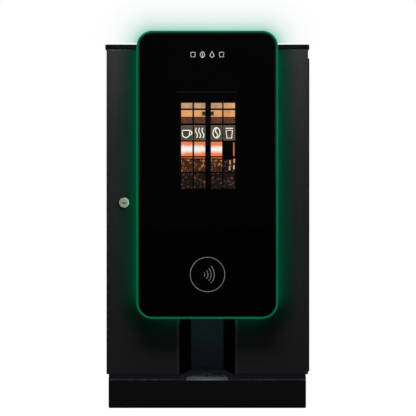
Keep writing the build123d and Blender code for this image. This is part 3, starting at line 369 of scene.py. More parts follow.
def rim_light():
    """The lit edge round the glass, brightest on its outer side."""
    s = Shader("guide_light")
    drift = s.noise(9.0, detail=2)
    green = s.mottled(drift, (0.001, 0.115, 0.042), (0.002, 0.15, 0.055))
    inner = s.spread(s.outside_front(), start=-0.0048, end=-0.003)
    s.emission(s.two_tone(inner, (0.0, 0.0, 0.0), green))
    s.set(Roughness=0.3, Specular_IOR_Level=0.1, Base_Color=(0.001, 0.02, 0.01, 1))
    return s.material


def wash_light():
    """The lit strip behind the front."""
    s = Shader("strip_light")
    cells = s.noise(60.0, detail=2)
    s.emission(s.mottled(cells, (0.0, 0.56, 0.33), (0.0, 0.68, 0.39)), 0.9)
    s.set(Base_Color=(0.02, 0.02, 0.02, 1))
    return s.material


def cup_lining():
    """The cup space's lining, with painted light and shade: its side walls are painted near black for deep
    shade, and its back wall has the green wash and a faint glow painted on as emission.
    """
    s = Shader("cup_lining")
    side = s.spread(s.maths("ABSOLUTE", s.axis("X", "Normal")), start=0.2, end=0.45)
    tone = s.noise(11.0, detail=4)
    plain = s.mottled(tone, (0.02, 0.0185, 0.023), (0.028, 0.026, 0.031))
    # painted shade: the faces that look sideways are near black
    s.colour(s.two_tone(side, plain, (0.0007, 0.0007, 0.0008)))
    s.specular(side, 0.35, 0.03)
    # painted light: a green glow on the back wall, fading downwards from the glass front's lower edge
    below = s.maths("MAXIMUM", s.maths("SUBTRACT", GUIDE_LOW.z, s.axis("Z")))
    wash = s.maths("EXPONENT", s.maths("DIVIDE", below, -0.014))
    lit = s.maths("MULTIPLY", wash, s.maths("SUBTRACT", 1.0, side))
    # painted light: a faint glow on the back wall
    faint = s.two_tone(side, (0.0035, 0.0028, 0.0045), (0.0, 0.0, 0.0))
    s.emission(s.two_tone(lit, faint, (0.0, 0.005, 0.0022)))
    s.handled(0.5, 0.65)
    s.relief(s.noise(1400, detail=2), 0.25, 0.0003, rounding=0.0005)
    return s.material


def base_moulding():
    """The base's gloss black moulding; the sloping band above its bend line has low specular and a faint
    painted glow for the light it catches.
    """
    s = Shader("base_gloss")
    bevel = s.spread(s.axis("Z"), start=62.6 * MM, end=63.2 * MM)
    tone = s.noise(11.0, detail=4)
    s.colour(s.mottled(tone, (0.0018, 0.0018, 0.0026), (0.0026, 0.0026, 0.0034)))
    s.specular(bevel, 0.5, 0.04)
    # painted light: the sloping band glows faintly as emission
    s.emission(s.two_tone(bevel, (0.0, 0.0, 0.0), (0.0062, 0.0054, 0.0074)))
    s.set(Coat_Weight=0.1, Coat_Roughness=0.1)
    s.handled(0.28, 0.42)
    s.relief(s.noise(1400, detail=2), 0.06, 0.0003, rounding=0.0005)
    return s.material


CHARCOAL = (0.0255, 0.0225, 0.0262)
paint = powder_coat("cabinet_paint", CHARCOAL, 0.42)
door_paint_with_painted_shade = door_coat_with_painted_shade(CHARCOAL)
lid_paint = powder_coat("lid_paint", (0.002, 0.002, 0.0022), 0.5, specular=0.1)
cup_plastic = cup_lining()
# partly painted highlight: the bead's round catches real light, and its paler grey than the base stands in
# for the highlight along the bend line
bead_highlight_plastic = moulding("bead_highlight_plastic", (0.075, 0.07, 0.082), 0.3, strength=0.05)
lip_steel = brushed("lip_steel", (0.45, 0.44, 0.48), 0.4, stretch=(4, 300, 300), metallic=0.4)
plate_metal = brushed("plate_metal", (0.5, 0.5, 0.5), 0.4, stretch=(4, 500, 500), metallic=0.8)
lamp_lens = glow("lamp_lens", (0.9, 0.92, 0.9), 0.7, base=(0.5, 0.5, 0.5))
sensor_window = moulding("sensor_window", (0.006, 0.002, 0.003), 0.15, strength=0.02, coat=0.5)
brown_plastic = moulding("brown_plastic", (0.08, 0.03, 0.012), 0.4, strength=0.1)
bean_mass = powder("bean_mass", (0.07, 0.03, 0.012), (0.012, 0.005, 0.002))
# painted light: the lock's metal is made pale and pinkish to make up for the white light it lacks under the
# green wash
lock_nickel_tinted_against_green_wash = brushed("lock_nickel_tinted_against_green_wash", (0.95, 0.55, 0.58), 0.45, stretch=(60, 60, 60), metallic=0.3)
board_green = moulding("board_green", (0.01, 0.07, 0.03), 0.35, strength=0.05)
inner_paint = powder_coat("inner_paint", (0.36, 0.37, 0.38), 0.5)
base_gloss = base_moulding()
alcove_plastic = moulding("alcove_plastic", (0.012, 0.0115, 0.0125), 0.55)
black_plastic = moulding("black_plastic", (0.014, 0.014, 0.015), 0.5)
grey_plastic = moulding("grey_plastic", (0.2, 0.205, 0.21), 0.42, strength=0.1)
white_plastic = moulding("white_plastic", (0.55, 0.55, 0.53), 0.4, strength=0.1)
rubber = moulding("rubber", (0.012, 0.012, 0.012), 0.8, texture=700, strength=0.4)
silicone = moulding("silicone", (0.55, 0.53, 0.48), 0.38, strength=0.05)
steel = brushed("satin_steel", (0.6, 0.6, 0.62))
tray_steel = brushed("tray_steel", (0.3, 0.29, 0.33), 0.42, stretch=(200, 200, 200), metallic=0.4)
upright_steel = brushed("upright_steel", (0.55, 0.55, 0.56), stretch=(900, 900, 4))
black_zinc = brushed("black_zinc", (0.035, 0.035, 0.038), 0.42, stretch=(60, 60, 12), metallic=0.7)
zinc = brushed("zinc", (0.5, 0.51, 0.53), 0.36, stretch=(40, 40, 40))
aluminium = brushed("aluminium", (0.62, 0.63, 0.64), 0.35, stretch=(300, 300, 6))
motor_paint = powder_coat("motor_paint", (0.07, 0.072, 0.076), 0.4)
chrome = polished("chrome", (0.62, 0.62, 0.65))
brass = polished("brass", (0.66, 0.46, 0.17), 0.22)
burr_steel = polished("burr_steel", (0.4, 0.4, 0.41), 0.25)
smoked = see_through("smoked_plastic", (0.35, 0.37, 0.4))
glass = black_glass()
guide_light = rim_light()
strip_light = wash_light()
bean_brown = coffee_bean()
milk_powder = powder("milk_powder", (0.8, 0.76, 0.66), (0.6, 0.55, 0.44))
chocolate_powder = powder("chocolate_powder", (0.17, 0.075, 0.035), (0.07, 0.028, 0.013))

NODE_MATERIALS = {
    paint: "left_side_panel right_side_panel back_panel",
    door_paint_with_painted_shade: "door_panel",
    cup_plastic: "cup_station",
    lid_paint: "top_lid",
    base_gloss: "base_housing",
    inner_paint: "top_deck floor_pan bulkhead shelf door_liner",
    rubber: "rubber_feet door_seal",
    black_zinc: "hinge_cabinet_leaf hinge_door_leaf lid_hinges fascia_plate",
    upright_steel: "hinge_pin brew_frame boiler",
    steel: "standoffs fan_frame",
    tray_steel: "drip_grille",
    chrome: "lock_cam",
    lock_nickel_tinted_against_green_wash: "lock_housing lock_cylinder",
    alcove_plastic: "drip_tray spout_head",
    glass: "glass_panel",
    guide_light: "light_guide led_strip",
    black_plastic: "display_module contactless_reader grounds_bin fan_rotor switch_rocker power_inlet",
    smoked: "bean_hopper canister_1 canister_2",
    grey_plastic: "canister_lids mixing_bowl_1 mixing_bowl_2 brew_piston auger_1 auger_2",
    white_plastic: "impeller_1 impeller_2 brew_chamber",
    motor_paint: "grinder_motor auger_motors mixer_motors pump grinder_housing",
    brass: "inlet_valve",
    silicone: "drink_tubes",
    aluminium: "power_supply control_board",
    burr_steel: "grinder_burr",
}


def dress_nodes():
    """Gives every CAD node its finish."""
    for finish, names in NODE_MATERIALS.items():
        for name in names.split():
            mesh = nodes[name].data
            mesh.materials.clear()
            mesh.materials.append(finish)


# ---- piece making
def mesh_object(name, build, finishes):
    """A mesh object from a function that fills a bmesh."""
    bm = bmesh.new()
    build(bm)
    bmesh.ops.recalc_face_normals(bm, faces=bm.faces)
    mesh = bpy.data.meshes.new(name)
    bm.to_mesh(mesh)
    bm.free()
    for finish in finishes:
        mesh.materials.append(finish)
    made = bpy.data.objects.new(name, mesh)
    bpy.context.scene.collection.objects.link(made)
    return made


def add_piece(name, build, body, *finishes, smooth=False):
    """Makes a mesh piece and lets it ride on a body."""
    piece = mesh_object(name, build, finishes)
    for polygon in piece.data.polygons:
        polygon.use_smooth = smooth
    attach(piece, body)
    return piece


def block(bm, low, high, material=0):
    """A closed box between two corners."""
    made = bmesh.ops.create_cube(bm, size=1.0)
    size = Vector(high) - Vector(low)
    middle = (Vector(high) + Vector(low)) / 2
    for v in made["verts"]:
        v.co = Vector((v.co.x * size.x, v.co.y * size.y, v.co.z * size.z)) + middle
        for face in v.link_faces:
            face.material_index = material


def blocks(name, body, finish, corners, rounding=0.0):
    """A piece made of boxes, whose sharp edges can be rounded."""

    def build(bm):
        for low, high in corners:
            block(bm, low, high)

    piece = add_piece(name, build, body, finish)
    if rounding:
        modifier = piece.modifiers.new("round", "BEVEL")
        modifier.width = rounding
        modifier.segments = 2
        modifier.limit_method = "ANGLE"
    return piece


def arc(centre, radius, start, end, steps=24):
    """Points of an arc in the XZ plane; angles in degrees from +X towards +Z."""
    points = []
    for i in range(steps + 1):
        a = math.radians(start + (end - start) * i / steps)
        points.append((centre[0] + radius * math.cos(a), centre[1] + radius * math.sin(a)))
    return points


def oval(centre, across, up, count):
    """Points of a closed oval in the XZ plane."""
    turns = [2 * math.pi * i / count for i in range(count)]
    return [(centre[0] + across * math.cos(a), centre[1] + up * math.sin(a)) for a in turns]


def tapered_cup(x, top, bottom, wide, narrow):
    """Four corners of a cup's outline, wide at the top."""
    return [(x - wide, top), (x - narrow, bottom), (x + narrow, bottom), (x + wide, top)]


def rounded_loop(middle, width, height, radius, steps=10):
    """Points of a rounded rectangle in the XZ plane, anticlockwise from the right."""
    points = []
    corners = ((1, 1, 0), (-1, 1, 90), (-1, -1, 180), (1, -1, 270))
    for sx, sz, start in corners:
        centre = (middle[0] + sx * (width / 2 - radius), middle[1] + sz * (height / 2 - radius))
        points += arc(centre, radius, start, start + 90, steps)
    return points


def band(bm, outer, inner, y_front, y_back, material=0):
    """A closed ring between two matching loops of XZ points."""
    rows = []
    for loop, y in ((outer, y_front), (outer, y_back), (inner, y_back), (inner, y_front)):
        rows.append([bm.verts.new((x, y, z)) for x, z in loop])
    count = len(outer)
    for k in range(4):
        here, there = rows[k], rows[(k + 1) % 4]
        for i in range(count):
            j = (i + 1) % count
            face = bm.faces.new((here[i], here[j], there[j], there[i]))
            face.material_index = material


def stroke(bm, points, width, y_front, y_back, closed=False, material=0):
    """A flat line of even width along XZ points."""
    count = len(points)
    left, right = [], []
    for i, (x, z) in enumerate(points):
        before = points[(i - 1) % count] if closed or i else points[i]
        after = points[(i + 1) % count] if closed or i < count - 1 else points[i]
        along = Vector((after[0] - before[0], after[1] - before[1])).normalized()
        side = Vector((-along.y, along.x)) * width / 2
        left.append((x + side.x, z + side.y))
        right.append((x - side.x, z - side.y))
    if closed:
        band(bm, left, right, y_front, y_back, material)
        return
    outline = left + right[::-1]
    plate(bm, outline, y_front, y_back, material)


def plate(bm, outline, y_front, y_back, material=0):
    """A flat plate whose outline of XZ points runs up one side and back down the other."""
    front = [bm.verts.new((x, y_front, z)) for x, z in outline]
    back = [bm.verts.new((x, y_back, z)) for x, z in outline]
    faces = []
    count = len(outline)
    for row, flip in ((front, False), (back, True)):
        for i in range(count // 2 - 1):
            quad = (row[i], row[i + 1], row[count - 2 - i], row[count - 1 - i])
            faces.append(bm.faces.new(quad[::-1] if flip else quad))
    for i in range(count):
        j = (i + 1) % count
        faces.append(bm.faces.new((front[i], back[i], back[j], front[j])))
    for face in faces:
        face.material_index = material


def lathe(bm, profile, place, turn, steps=24, hexagonal=()):
    """Turns (radius, height) pairs about an axis. Rings named in hexagonal get six flats."""
    rows = []
    for index, (radius, height) in enumerate(profile):
        ring = []
        for i in range(steps):
            a = 2 * math.pi * i / steps
            r = radius
            if index in hexagonal:
                r = radius / math.cos((a + math.pi / 6) % (math.pi / 3) - math.pi / 6)
            ring.append(bm.verts.new(place + turn @ Vector((r * math.cos(a), r * math.sin(a), height))))
        rows.append(ring)
    for here, there in zip(rows, rows[1:]):
        for i in range(steps):
            j = (i + 1) % steps
            bm.faces.new((here[i], here[j], there[j], there[i]))
    for ring in (rows[0], rows[-1]):
        bm.faces.new(ring)


FACING = {
    "-y": Matrix.Rotation(math.radians(90), 3, "X"),
    "+y": Matrix.Rotation(math.radians(-90), 3, "X"),
    "-x": Matrix.Rotation(math.radians(-90), 3, "Y"),
    "+x": Matrix.Rotation(math.radians(90), 3, "Y"),
    "+z": Matrix.Identity(3),
    "-z": Matrix.Rotation(math.radians(180), 3, "X"),
}


BUTTON_HEAD = ((1, -0.3), (1, 0.06), (0.93, 0.28), (0.74, 0.46), (0.5, 0.56), (0.4, 0.55), (0.38, 0.1))


def screws(name, places, facing, body, finish, radius=3.6 * MM):
    """Button-head screws with hexagon sockets on one panel."""

    def build(bm):
        profile = [(r * radius, h * radius) for r, h in BUTTON_HEAD]
        for place in places:
            lathe(bm, profile, Vector(place), FACING[facing], hexagonal=(5, 6))

    return add_piece(name, build, body, finish)


# ---- the glass front
WINDOW_WIDTH = 135 * MM
WINDOW_HEIGHT = 217 * MM
WINDOW_TOP = (SCREEN_LOW.z + SCREEN_HIGH.z) / 2 + WINDOW_HEIGHT / 2
WINDOW_LEFT = -WINDOW_WIDTH / 2


def shown(name, make_colour, strength=1.0):
    """A part of the lit picture, whose colour pattern comes from make_colour."""
    s = Shader(name)
    s.emission(make_colour(s), strength)
    s.set(Roughness=0.1, Specular_IOR_Level=0.3, Base_Color=(0.0005, 0.0005, 0.0005, 1))
    return s.material


def lamplit(name, colour, dark, scale=60.0, strength=1.0):
    """A lit part of the picture with blotches of lamplight on a darker ground."""

    def pattern(s):
        return s.mottled(s.noise(scale, detail=4, roughness=0.65), dark, colour)

    return shown(name, pattern, strength)


def shopfront(s):
    """A bright counter: white in the middle, falling off to coral above and below."""
    middle = WINDOW_TOP - 127 * MM
    off = s.maths("ABSOLUTE", s.maths("SUBTRACT", s.axis("Z"), middle))
    ragged = s.maths("ADD", off, s.maths("MULTIPLY", s.noise(55, stretch=(1, 1, 0.2)), 0.012))
    coral = s.two_tone(s.noise(30), (0.95, 0.26, 0.1), (0.75, 0.16, 0.06))
    return s.two_tone(s.spread(ragged, 0, 1, 0.009, 0.0165), (0.88, 0.9, 0.84), coral)


def shelves(s):
    """A dim room with small warm lights along its shelves."""
    glints = s.noise(240, detail=2, roughness=0.8, stretch=(1, 1, 0.45))
    rows = s.noise(60, detail=1, stretch=(0.1, 1, 2.0))
    bright = s.maths("MULTIPLY", s.spread(glints, 0, 1, 0.52, 0.66), s.spread(rows, 0.15, 1, 0.4, 0.6))
    ground = s.two_tone(s.noise(90), (0.012, 0.005, 0.003), (0.075, 0.028, 0.014))
    return s.two_tone(bright, ground, (0.75, 0.34, 0.13))


def dim_room(s):
    """The unlit lower panes: near black with a few faint reflections."""
    spots = s.spread(s.noise(170, detail=3, roughness=0.75), 0, 1, 0.56, 0.72)
    ground = s.two_tone(s.noise(40), (0.004, 0.003, 0.0035), (0.018, 0.012, 0.012))
    return s.two_tone(spots, ground, (0.28, 0.11, 0.06))


def display_picture():
    """The lit picture: a lamplit window of small panes at night, with drink signs in its fourth row."""
    finishes = [
        lamplit("picture_night", (0.0016, 0.0013, 0.0013), (0.0008, 0.0006, 0.0006)),
        lamplit("picture_amber", (0.93, 0.42, 0.15), (0.55, 0.26, 0.12), scale=45),
        lamplit("picture_tan", (0.8, 0.42, 0.2), (0.32, 0.22, 0.15), scale=38),
        lamplit("picture_brown", (0.15, 0.06, 0.035), (0.05, 0.022, 0.013), scale=150),
        lamplit("picture_sign", (0.13, 0.1, 0.065), (0.035, 0.035, 0.022), scale=80),
        shown("picture_counter", shopfront),
        lamplit("picture_coral", (0.62, 0.17, 0.07), (0.35, 0.08, 0.03), scale=70),
        shown("picture_shelves", shelves),
        shown("picture_dim", dim_room),
        lamplit("picture_neon", (1.0, 0.97, 0.9), (0.85, 0.8, 0.7), strength=1.1),
        lamplit("picture_frame", (0.3, 0.27, 0.17), (0.16, 0.14, 0.09)),
        lamplit("picture_moss", (0.035, 0.05, 0.02), (0.015, 0.02, 0.01), scale=120),
        lamplit("picture_edge", (0.011, 0.011, 0.011), (0.007, 0.007, 0.007)),
    ]
    order = range(len(finishes))
    night, amber, tan, brown, sign, counter, coral, rows, dim, neon, frame_line, moss, edge = order
    columns = [(10.0, 34.8), (38.5, 63.0), (75.5, 100.2), (103.4, 128.5)]

    def rectangle(bm, x, z, layer, material):
        low = (WINDOW_LEFT + x[0] * MM, GLASS_FACE - layer * 0.04 * MM, WINDOW_TOP - z[1] * MM)
        high = (WINDOW_LEFT + x[1] * MM, GLASS_FACE + 0.1 * MM, WINDOW_TOP - z[0] * MM)
        block(bm, low, high, material)

    def outline(bm, x, z, material):
        for side in (x[0], x[1] - 0.7):
            rectangle(bm, (side, side + 0.7), z, 3, material)
        for side in (z[0], z[1] - 0.7):
            rectangle(bm, x, (side, side + 0.7), 3, material)

    def build(bm):
        rectangle(bm, (0, 135), (0, 217), 1, night)
        rectangle(bm, (0, 134), (0, 1.8), 2, edge)
        for number, column in enumerate(columns):
            rectangle(bm, column, (25.0, 37.0), 2, tan)
            rectangle(bm, column, (40.8, 55.5), 2, amber)
            rectangle(bm, column, (56.5, 70.0), 2, brown)
            rectangle(bm, column, (74.8, 107.0), 2, sign)
            outline(bm, column, (74.8, 107.0), frame_line)
            if number < 3:
                rectangle(bm, column, (110.5, 142.0), 2, counter)
                rectangle(bm, column, (144.8, 147.2), 2, coral)
            rectangle(bm, column, (149.5, 176.5), 2, rows if number < 3 else dim)
            rectangle(bm, column, (180.0, 214.0), 2, dim)
        # a plant box beside the mullion, and the lamps of the darker fourth column
        rectangle(bm, (56, 63), (44, 53), 3, moss)
        rectangle(bm, (75.5, 82), (44, 53), 3, moss)
        rectangle(bm, (124.5, 127.5), (112, 142), 3, coral)
        for x, z in ((116, 151), (125, 148), (115, 164), (124.5, 162)):
            rectangle(bm, (x, x + 3.4), (z, z + 9.5), 3, tan)
        drink_signs(bm, columns, (74.8, 107.0), neon)

    add_piece("display_picture", build, "door", *finishes)


def drink_signs(bm, columns, row, material):
    """Four neon line drawings: cup, steam, bean and takeaway cup."""
    y = (GLASS_FACE - 0.16 * MM, GLASS_FACE - 0.05 * MM)
    width = 2.1 * MM
    height = (row[1] - row[0]) * MM
    base = WINDOW_TOP - row[1] * MM

    def draw(points, closed=False):
        stroke(bm, points, width, *y, closed, material)

    middles = [WINDOW_LEFT + (a + b) / 2 * MM for a, b in columns]
    x, z = middles[0] - 1.8 * MM, base + 0.3 * height
    cup = [(x - 8 * MM, z + 12 * MM), (x - 8 * MM, z + 4 * MM)]
    cup += arc((x, z + 4 * MM), 8 * MM, 190, 350, 14)
    cup += [(x + 8 * MM, z + 4 * MM), (x + 8 * MM, z + 12 * MM)]
    draw(cup, closed=True)
    draw(arc((x + 9 * MM, z + 6.5 * MM), 4 * MM, -90, 90, 10))
    x = middles[1]
    for shift in (-7, 0, 7):
        wave = []
        for i in range(17):
            t = i / 16
            wave.append((x + (shift + 2.2 * math.sin(t * 2 * math.pi)) * MM, base + (5 + 22 * t) * MM))
        draw(wave)
    x, z = middles[2], base + height / 2
    draw(oval((x, z), 7.6 * MM, 11.5 * MM, 28), closed=True)
    draw([(x + 2.6 * MM * math.sin(i / 12 * 2 * math.pi), z + (i - 6) * 1.6 * MM) for i in range(13)])
    x = middles[3]
    draw([(x - 8.2 * MM, base + 26 * MM), (x + 8.2 * MM, base + 26 * MM)])
    draw(tapered_cup(x, base + 21.5 * MM, base + 4.5 * MM, 7 * MM, 5.2 * MM), closed=True)


def glass_marks():
    """Printed line marks: a row of drink icons at the top and a contactless ring at the bottom."""
    y = (GLASS_FACE - PRINT_DEPTH, GLASS_FACE + PRINT_DEPTH)
    ink = glow("printed_ink", (0.42, 0.42, 0.43), 0.55, base=(0.3, 0.3, 0.3))
    fine = glow("printed_line", (0.19, 0.19, 0.195), 0.85, base=(0.2, 0.2, 0.2))

    def icons(bm):
        z = GUIDE_HIGH.z - 53 * MM
        line = 2.0 * MM
        step = 21 * MM
        for number in range(4):
            x = (number - 1.5) * step
            if number in (0, 3):
                cup = tapered_cup(x, z + 5 * MM, z - 5 * MM, 5 * MM, 4 * MM)
                stroke(bm, cup, line, *y, closed=True)
            elif number == 1:
                stroke(bm, oval((x, z), 4.4 * MM, 6 * MM, 24), line, *y, closed=True)
                stroke(bm, [(x, z - 4.6 * MM), (x, z + 4.6 * MM)], line * 0.7, *y)
            else:
                drop = arc((x, z - 1.5 * MM), 4.2 * MM, -215, 35, 18)
                drop.append((x, z + 7 * MM))
                stroke(bm, drop, line, *y, closed=True)

    add_piece("drink_icons", icons, "door", ink)
    centre = (0.5 * MM, (READER_LOW.z + READER_HIGH.z) / 2)

    def ring(bm):
        line = 1.15 * MM
        stroke(bm, oval(centre, 38 * MM, 38 * MM, 64), line, *y, closed=True)
        for radius, steps in ((7, 16), (14, 16), (21, 16), (28, 20)):
            stroke(bm, arc((centre[0] - 13 * MM, centre[1]), radius * MM, -42, 42, steps), line, *y)

    add_piece("contactless_mark", ring, "door", fine)


WASH_GREEN = (0.0, 0.62, 0.355)


def back_lighting():
    """The strip round the back of the floating front that washes the door with green."""
    inset = 5.5 * MM
    middle = (GUIDE_MIDDLE.x, GUIDE_MIDDLE.z)
    y_front = GUIDE_HIGH.y
    outer = rounded_loop(middle, GUIDE_WIDTH - 2 * inset, GUIDE_HEIGHT - 2 * inset, GUIDE_RADIUS - inset)
    width = inset + 4 * MM
    inner = rounded_loop(middle, GUIDE_WIDTH - 2 * width, GUIDE_HEIGHT - 2 * width, GUIDE_RADIUS - width)

    def build(bm):
        band(bm, outer, inner, y_front, y_front + 1.2 * MM)
        for face in bm.faces:
            if face.calc_center_median().y > y_front + 1.1 * MM:
                face.material_index = 1

    add_piece("halo_strip", build, "door", black_plastic, strip_light)
    half = (GUIDE_WIDTH / 2 - width, GUIDE_HEIGHT / 2 - width)
    runs = (
        ("wash_left", (-half[0], 0), 0.565, 1.12),
        ("wash_right", (half[0], 0), 0.565, 1.12),
        ("wash_top", (0, half[1]), 0.242, 1.0),
        ("wash_bottom", (0, -half[1]), 0.242, 0.38),
    )
    for name, (dx, dz), length, share in runs:
        size = (4 * MM, length) if dx else (length, 4 * MM)
        place = (middle[0] + dx, y_front + 2.5 * MM, middle[1] + dz)
        target = (place[0], 0, place[2])
        lamp = area_light(name, place, target, size, length * share, WASH_GREEN)
        lamp.visible_camera = False
        lamp.visible_glossy = False
        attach(lamp, "door")


# ---- small parts
def lathed(name, profile, places, facing, body, finish, steps=24, smooth=True):
    """Identical turned parts at several places."""

    def build(bm):
        for place in places:
            lathe(bm, [(r * MM, h * MM) for r, h in profile], Vector(place), FACING[facing], steps)

    return add_piece(name, build, body, finish, smooth=smooth)


def millimetres(*places):
    return [tuple(value * MM for value in place) for place in places]


def rod(bm, start, end, radius, steps=12):
    """A straight round bar between two points."""
    start, end = Vector(start), Vector(end)
    turn = (end - start).to_track_quat("Z", "Y").to_matrix()
    lathe(bm, [(radius, 0.0), (radius, (end - start).length)], start, turn, steps)


def base_trim():
    """The moulded edge along the base's bend line, paler than the base as a painted highlight along that
    line, and the steel lip of the drip tray in its middle.
    """
    z = 62.8 * MM
    front = BASE_LOW.y + 0.6 * MM

    def bead(bm):
        for side in (-1, 1):
            rod(bm, (side * 49 * MM, front, z), (side * BASE_HIGH.x, front, z), 1.1 * MM)

    add_piece("base_bead", bead, "root", bead_highlight_plastic, smooth=True)

    def lip(bm):
        y = TRAY_LOW.y + 0.9 * MM
        rod(bm, (TRAY_LOW.x + 1 * MM, y, z), (TRAY_HIGH.x - 1 * MM, y, z), 1.3 * MM)

    add_piece("tray_lip", lip, "tray", lip_steel, smooth=True)


def base_gap_shade_strip():
    """A dark rubber strip that fills the gap between the base's edge and the counter, as painted shade for
    the contact shadow there.
    """
    x, front, back = BASE_HIGH.x - 0.8 * MM, BASE_LOW.y + 0.8 * MM, BASE_HIGH.y - 0.8 * MM
    wide, low, top = 4 * MM, 0.2 * MM, 3.2 * MM
    runs = [((-x, front, low), (x, front + wide, top)), ((-x, back - wide, low), (x, back, top))]
    for side in (-1, 1):
        near, far = sorted((side * x, side * (x - wide)))
        runs.append(((near, front + wide, low), (far, back - wide, top)))
    # painted shade: the dark strip fills the gap where the shadow under the base falls
    blocks("base_gap_shade_strip", "root", rubber, runs)


def hinge_cover():
    """The black strip that covers the hinge down the door's right edge."""
    low = (DOOR_HIGH.x - 0.3 * MM, -241.5 * MM, 82 * MM)
    high = (DOOR_HIGH.x + 2.9 * MM, -229 * MM, 781 * MM)
    blocks("hinge_cover", "door", lid_paint, [(low, high)], 1 * MM)


def lock_details():
    """Painted shade at the lock: a black plate for the dark key slot in the cylinder's face, and a thin
    dark rubber ring for the shadow under the bezel.
    """
    middle = (LOCK_LOW + LOCK_HIGH) / 2
    x, y, z = middle.x, LOCK_LOW.y + 0.45 * MM, middle.z
    # painted shade: a black plate on the cylinder's face for the shadow in the key slot
    slot = ((x - 3.4 * MM, y, z - 1.7 * MM), (x + 3.4 * MM, y + 1 * MM, z + 0.1 * MM))
    blocks("keyway_shade", "lock", black_plastic, [slot])

    # painted shade: a dark ring on the door round the bezel for the shadow beneath it
    def ring(bm):
        outer, inner = (oval((x, z), r * MM, r * MM, 60) for r in (12.6, 11.2))
        band(bm, outer, inner, DOOR_LOW.y - 0.35 * MM, DOOR_LOW.y + 0.3 * MM)

    add_piece("lock_shadow_ring", ring, "door", rubber)


def cup_space_details():
    """Nozzle tips, the lamp's lens and the cup sensor's window."""
    profile = [(5.4, 0), (6.6, 0), (6.6, 4.0), (6.2, 5.0), (6.2, 7.5)]
    tips = millimetres((-16, -190, 236.5), (16, -190, 236.5))
    lathed("nozzle_tips", profile, tips, "+z", "root", steel)
    lens = [(8.0, 0), (8.0, 0.6), (6.5, 1.2)]
    lathed("lamp_lens", lens, millimetres((0, -226, 232.3)), "-z", "door", lamp_lens)
    window = ((-9 * MM, ALCOVE_BACK - 6.2 * MM, 211 * MM), (9 * MM, ALCOVE_BACK - 2.4 * MM, 226 * MM))
    blocks("cup_sensor", "door", sensor_window, [window], 1.2 * MM)


FAN = (-0.14, 0.69)  # the fan's centre across and up the back


def sheet_metal_screws():
    """Screws that hold the sheet-metal panels, the hinges and the liner."""
    back = BACK_FACE
    edges = [(x, back, z) for x in (-0.215, 0.215) for z in (0.1, 0.26, 0.42, 0.58, 0.74)]
    edges += [(x, back, 0.786) for x in (-0.07, 0.07)]
    leaf = [(x + dx, back + 1.5 * MM, 0.77) for x in (-0.15, 0.15) for dx in (-0.012, 0.012)]
    pitch = (-0.0525, 0.0525)
    fan = [(FAN[0] + dx, back + 0.2 * MM, FAN[1] + dz) for dx in pitch for dz in pitch]
    inlet = [(0.15 + dx, back + 2.5 * MM, 0.12) for dx in (-0.0305, 0.0305)]
    liner = [(x, -0.2165, z) for x in (-0.2, 0.19) for z in (0.11, 0.28, 0.6, 0.77)]
    heights = [0.132 + 0.1 * i for i in range(7)]
    wall = [(x, 0.088, z) for x in (-0.21, 0.21) for z in (0.12, 0.4, 0.68)]
    panel = [(x, -0.108, z) for x in (-0.076, 0.12) for z in (0.25, 0.54)]
    screws("back_panel_screws", edges, "+y", "root", zinc)
    screws("lid_hinge_screws", leaf, "+y", "root", black_zinc, 3 * MM)
    screws("liner_screws", liner, "+y", "door", zinc, 3 * MM)
    screws("hinge_screws_cabinet", [(0.211, -0.2113, z) for z in heights], "-y", "root", zinc, 2.1 * MM)
    screws("hinge_screws_door", [(0.211, -0.2147, z) for z in heights], "+y", "door", zinc, 2.1 * MM)
    screws("bulkhead_screws", wall, "-y", "root", zinc)
    screws("mixer_panel_screws", panel, "-y", "root", zinc)
    screws("fan_screws", fan, "+y", "root", black_zinc, 3.2 * MM)
    screws("inlet_screws", inlet, "+y", "root", zinc, 2.4 * MM)


def back_details():
    """The fan's wire guard, a blank rating plate and an earth stud on the back panel."""
    back = BACK_FACE

    def guard(bm):
        for radius in (14, 26, 38, 50, 58):
            outer, inner = (oval(FAN, r * MM, r * MM, 72) for r in (radius + 0.9, radius - 0.9))
            band(bm, outer, inner, back + 2.6 * MM, back + 0.9 * MM)
        for angle in (45, 135, 225, 315):
            direction = Vector((math.cos(math.radians(angle)), 0, math.sin(math.radians(angle))))
            start = Vector((FAN[0], back + 1.1 * MM, FAN[1]))
            rod(bm, start + direction * 12 * MM, start + direction * 72 * MM, 1.1 * MM)

    add_piece("fan_guard", guard, "root", zinc, smooth=True)

    def rating_plate(bm):
        plate(bm, rounded_loop((0.03, 0.19), 74 * MM, 48 * MM, 3 * MM, 4), back + 0.4 * MM, back - 0.1 * MM)

    add_piece("rating_plate", rating_plate, "root", plate_metal)
    corners = [(0.03 + dx, back + 0.4 * MM, 0.19 + dz) for dx in (-0.033, 0.033) for dz in (-0.02, 0.02)]
    lathed("plate_rivets", [(1.8, 0), (1.6, 0.5), (0.9, 0.8)], corners, "+y", "root", zinc, 12)
    earth = [(0.2, back, 0.12)]
    lathed("earth_stud", [(2.4, -1), (2.4, 9), (1.9, 9.8)], earth, "+y", "root", brass, 16)
    lathed("earth_nut", [(5.2, 0), (5.2, 3.2)], earth, "+y", "root", brass, 6, smooth=False)


def lid_details():
    """Rubber buffers and a stiffening rib under the lid."""
    places = [(x, y, 0.8018) for x in (-0.212, 0.212) for y in (-0.222, 0.236)]
    lathed("lid_buffers", [(4.0, 0), (5.5, 0.8), (5.5, 8.2)], places, "+z", "lid", rubber)
    ribs = [((-0.2, y, 0.8035), (0.2, y + 12 * MM, 0.8103)) for y in (-0.205, 0.105)]
    blocks("lid_ribs", "lid", lid_paint, ribs, 1 * MM)


def bean(bm, place, turn, size):
    """One roasted bean with the groove along its flat side."""
    made = bmesh.ops.create_icosphere(bm, subdivisions=2, radius=1.0)
    for v in made["verts"]:
        x, y, z = v.co
        if z > 0:
            z *= 0.45
            z -= 0.35 * max(0.0, 1 - abs(y) / 0.22) * (1 - abs(x) * 0.5)
        v.co = Vector(place) + turn @ Vector((x * size, y * size * 0.68, z * size * 0.62))


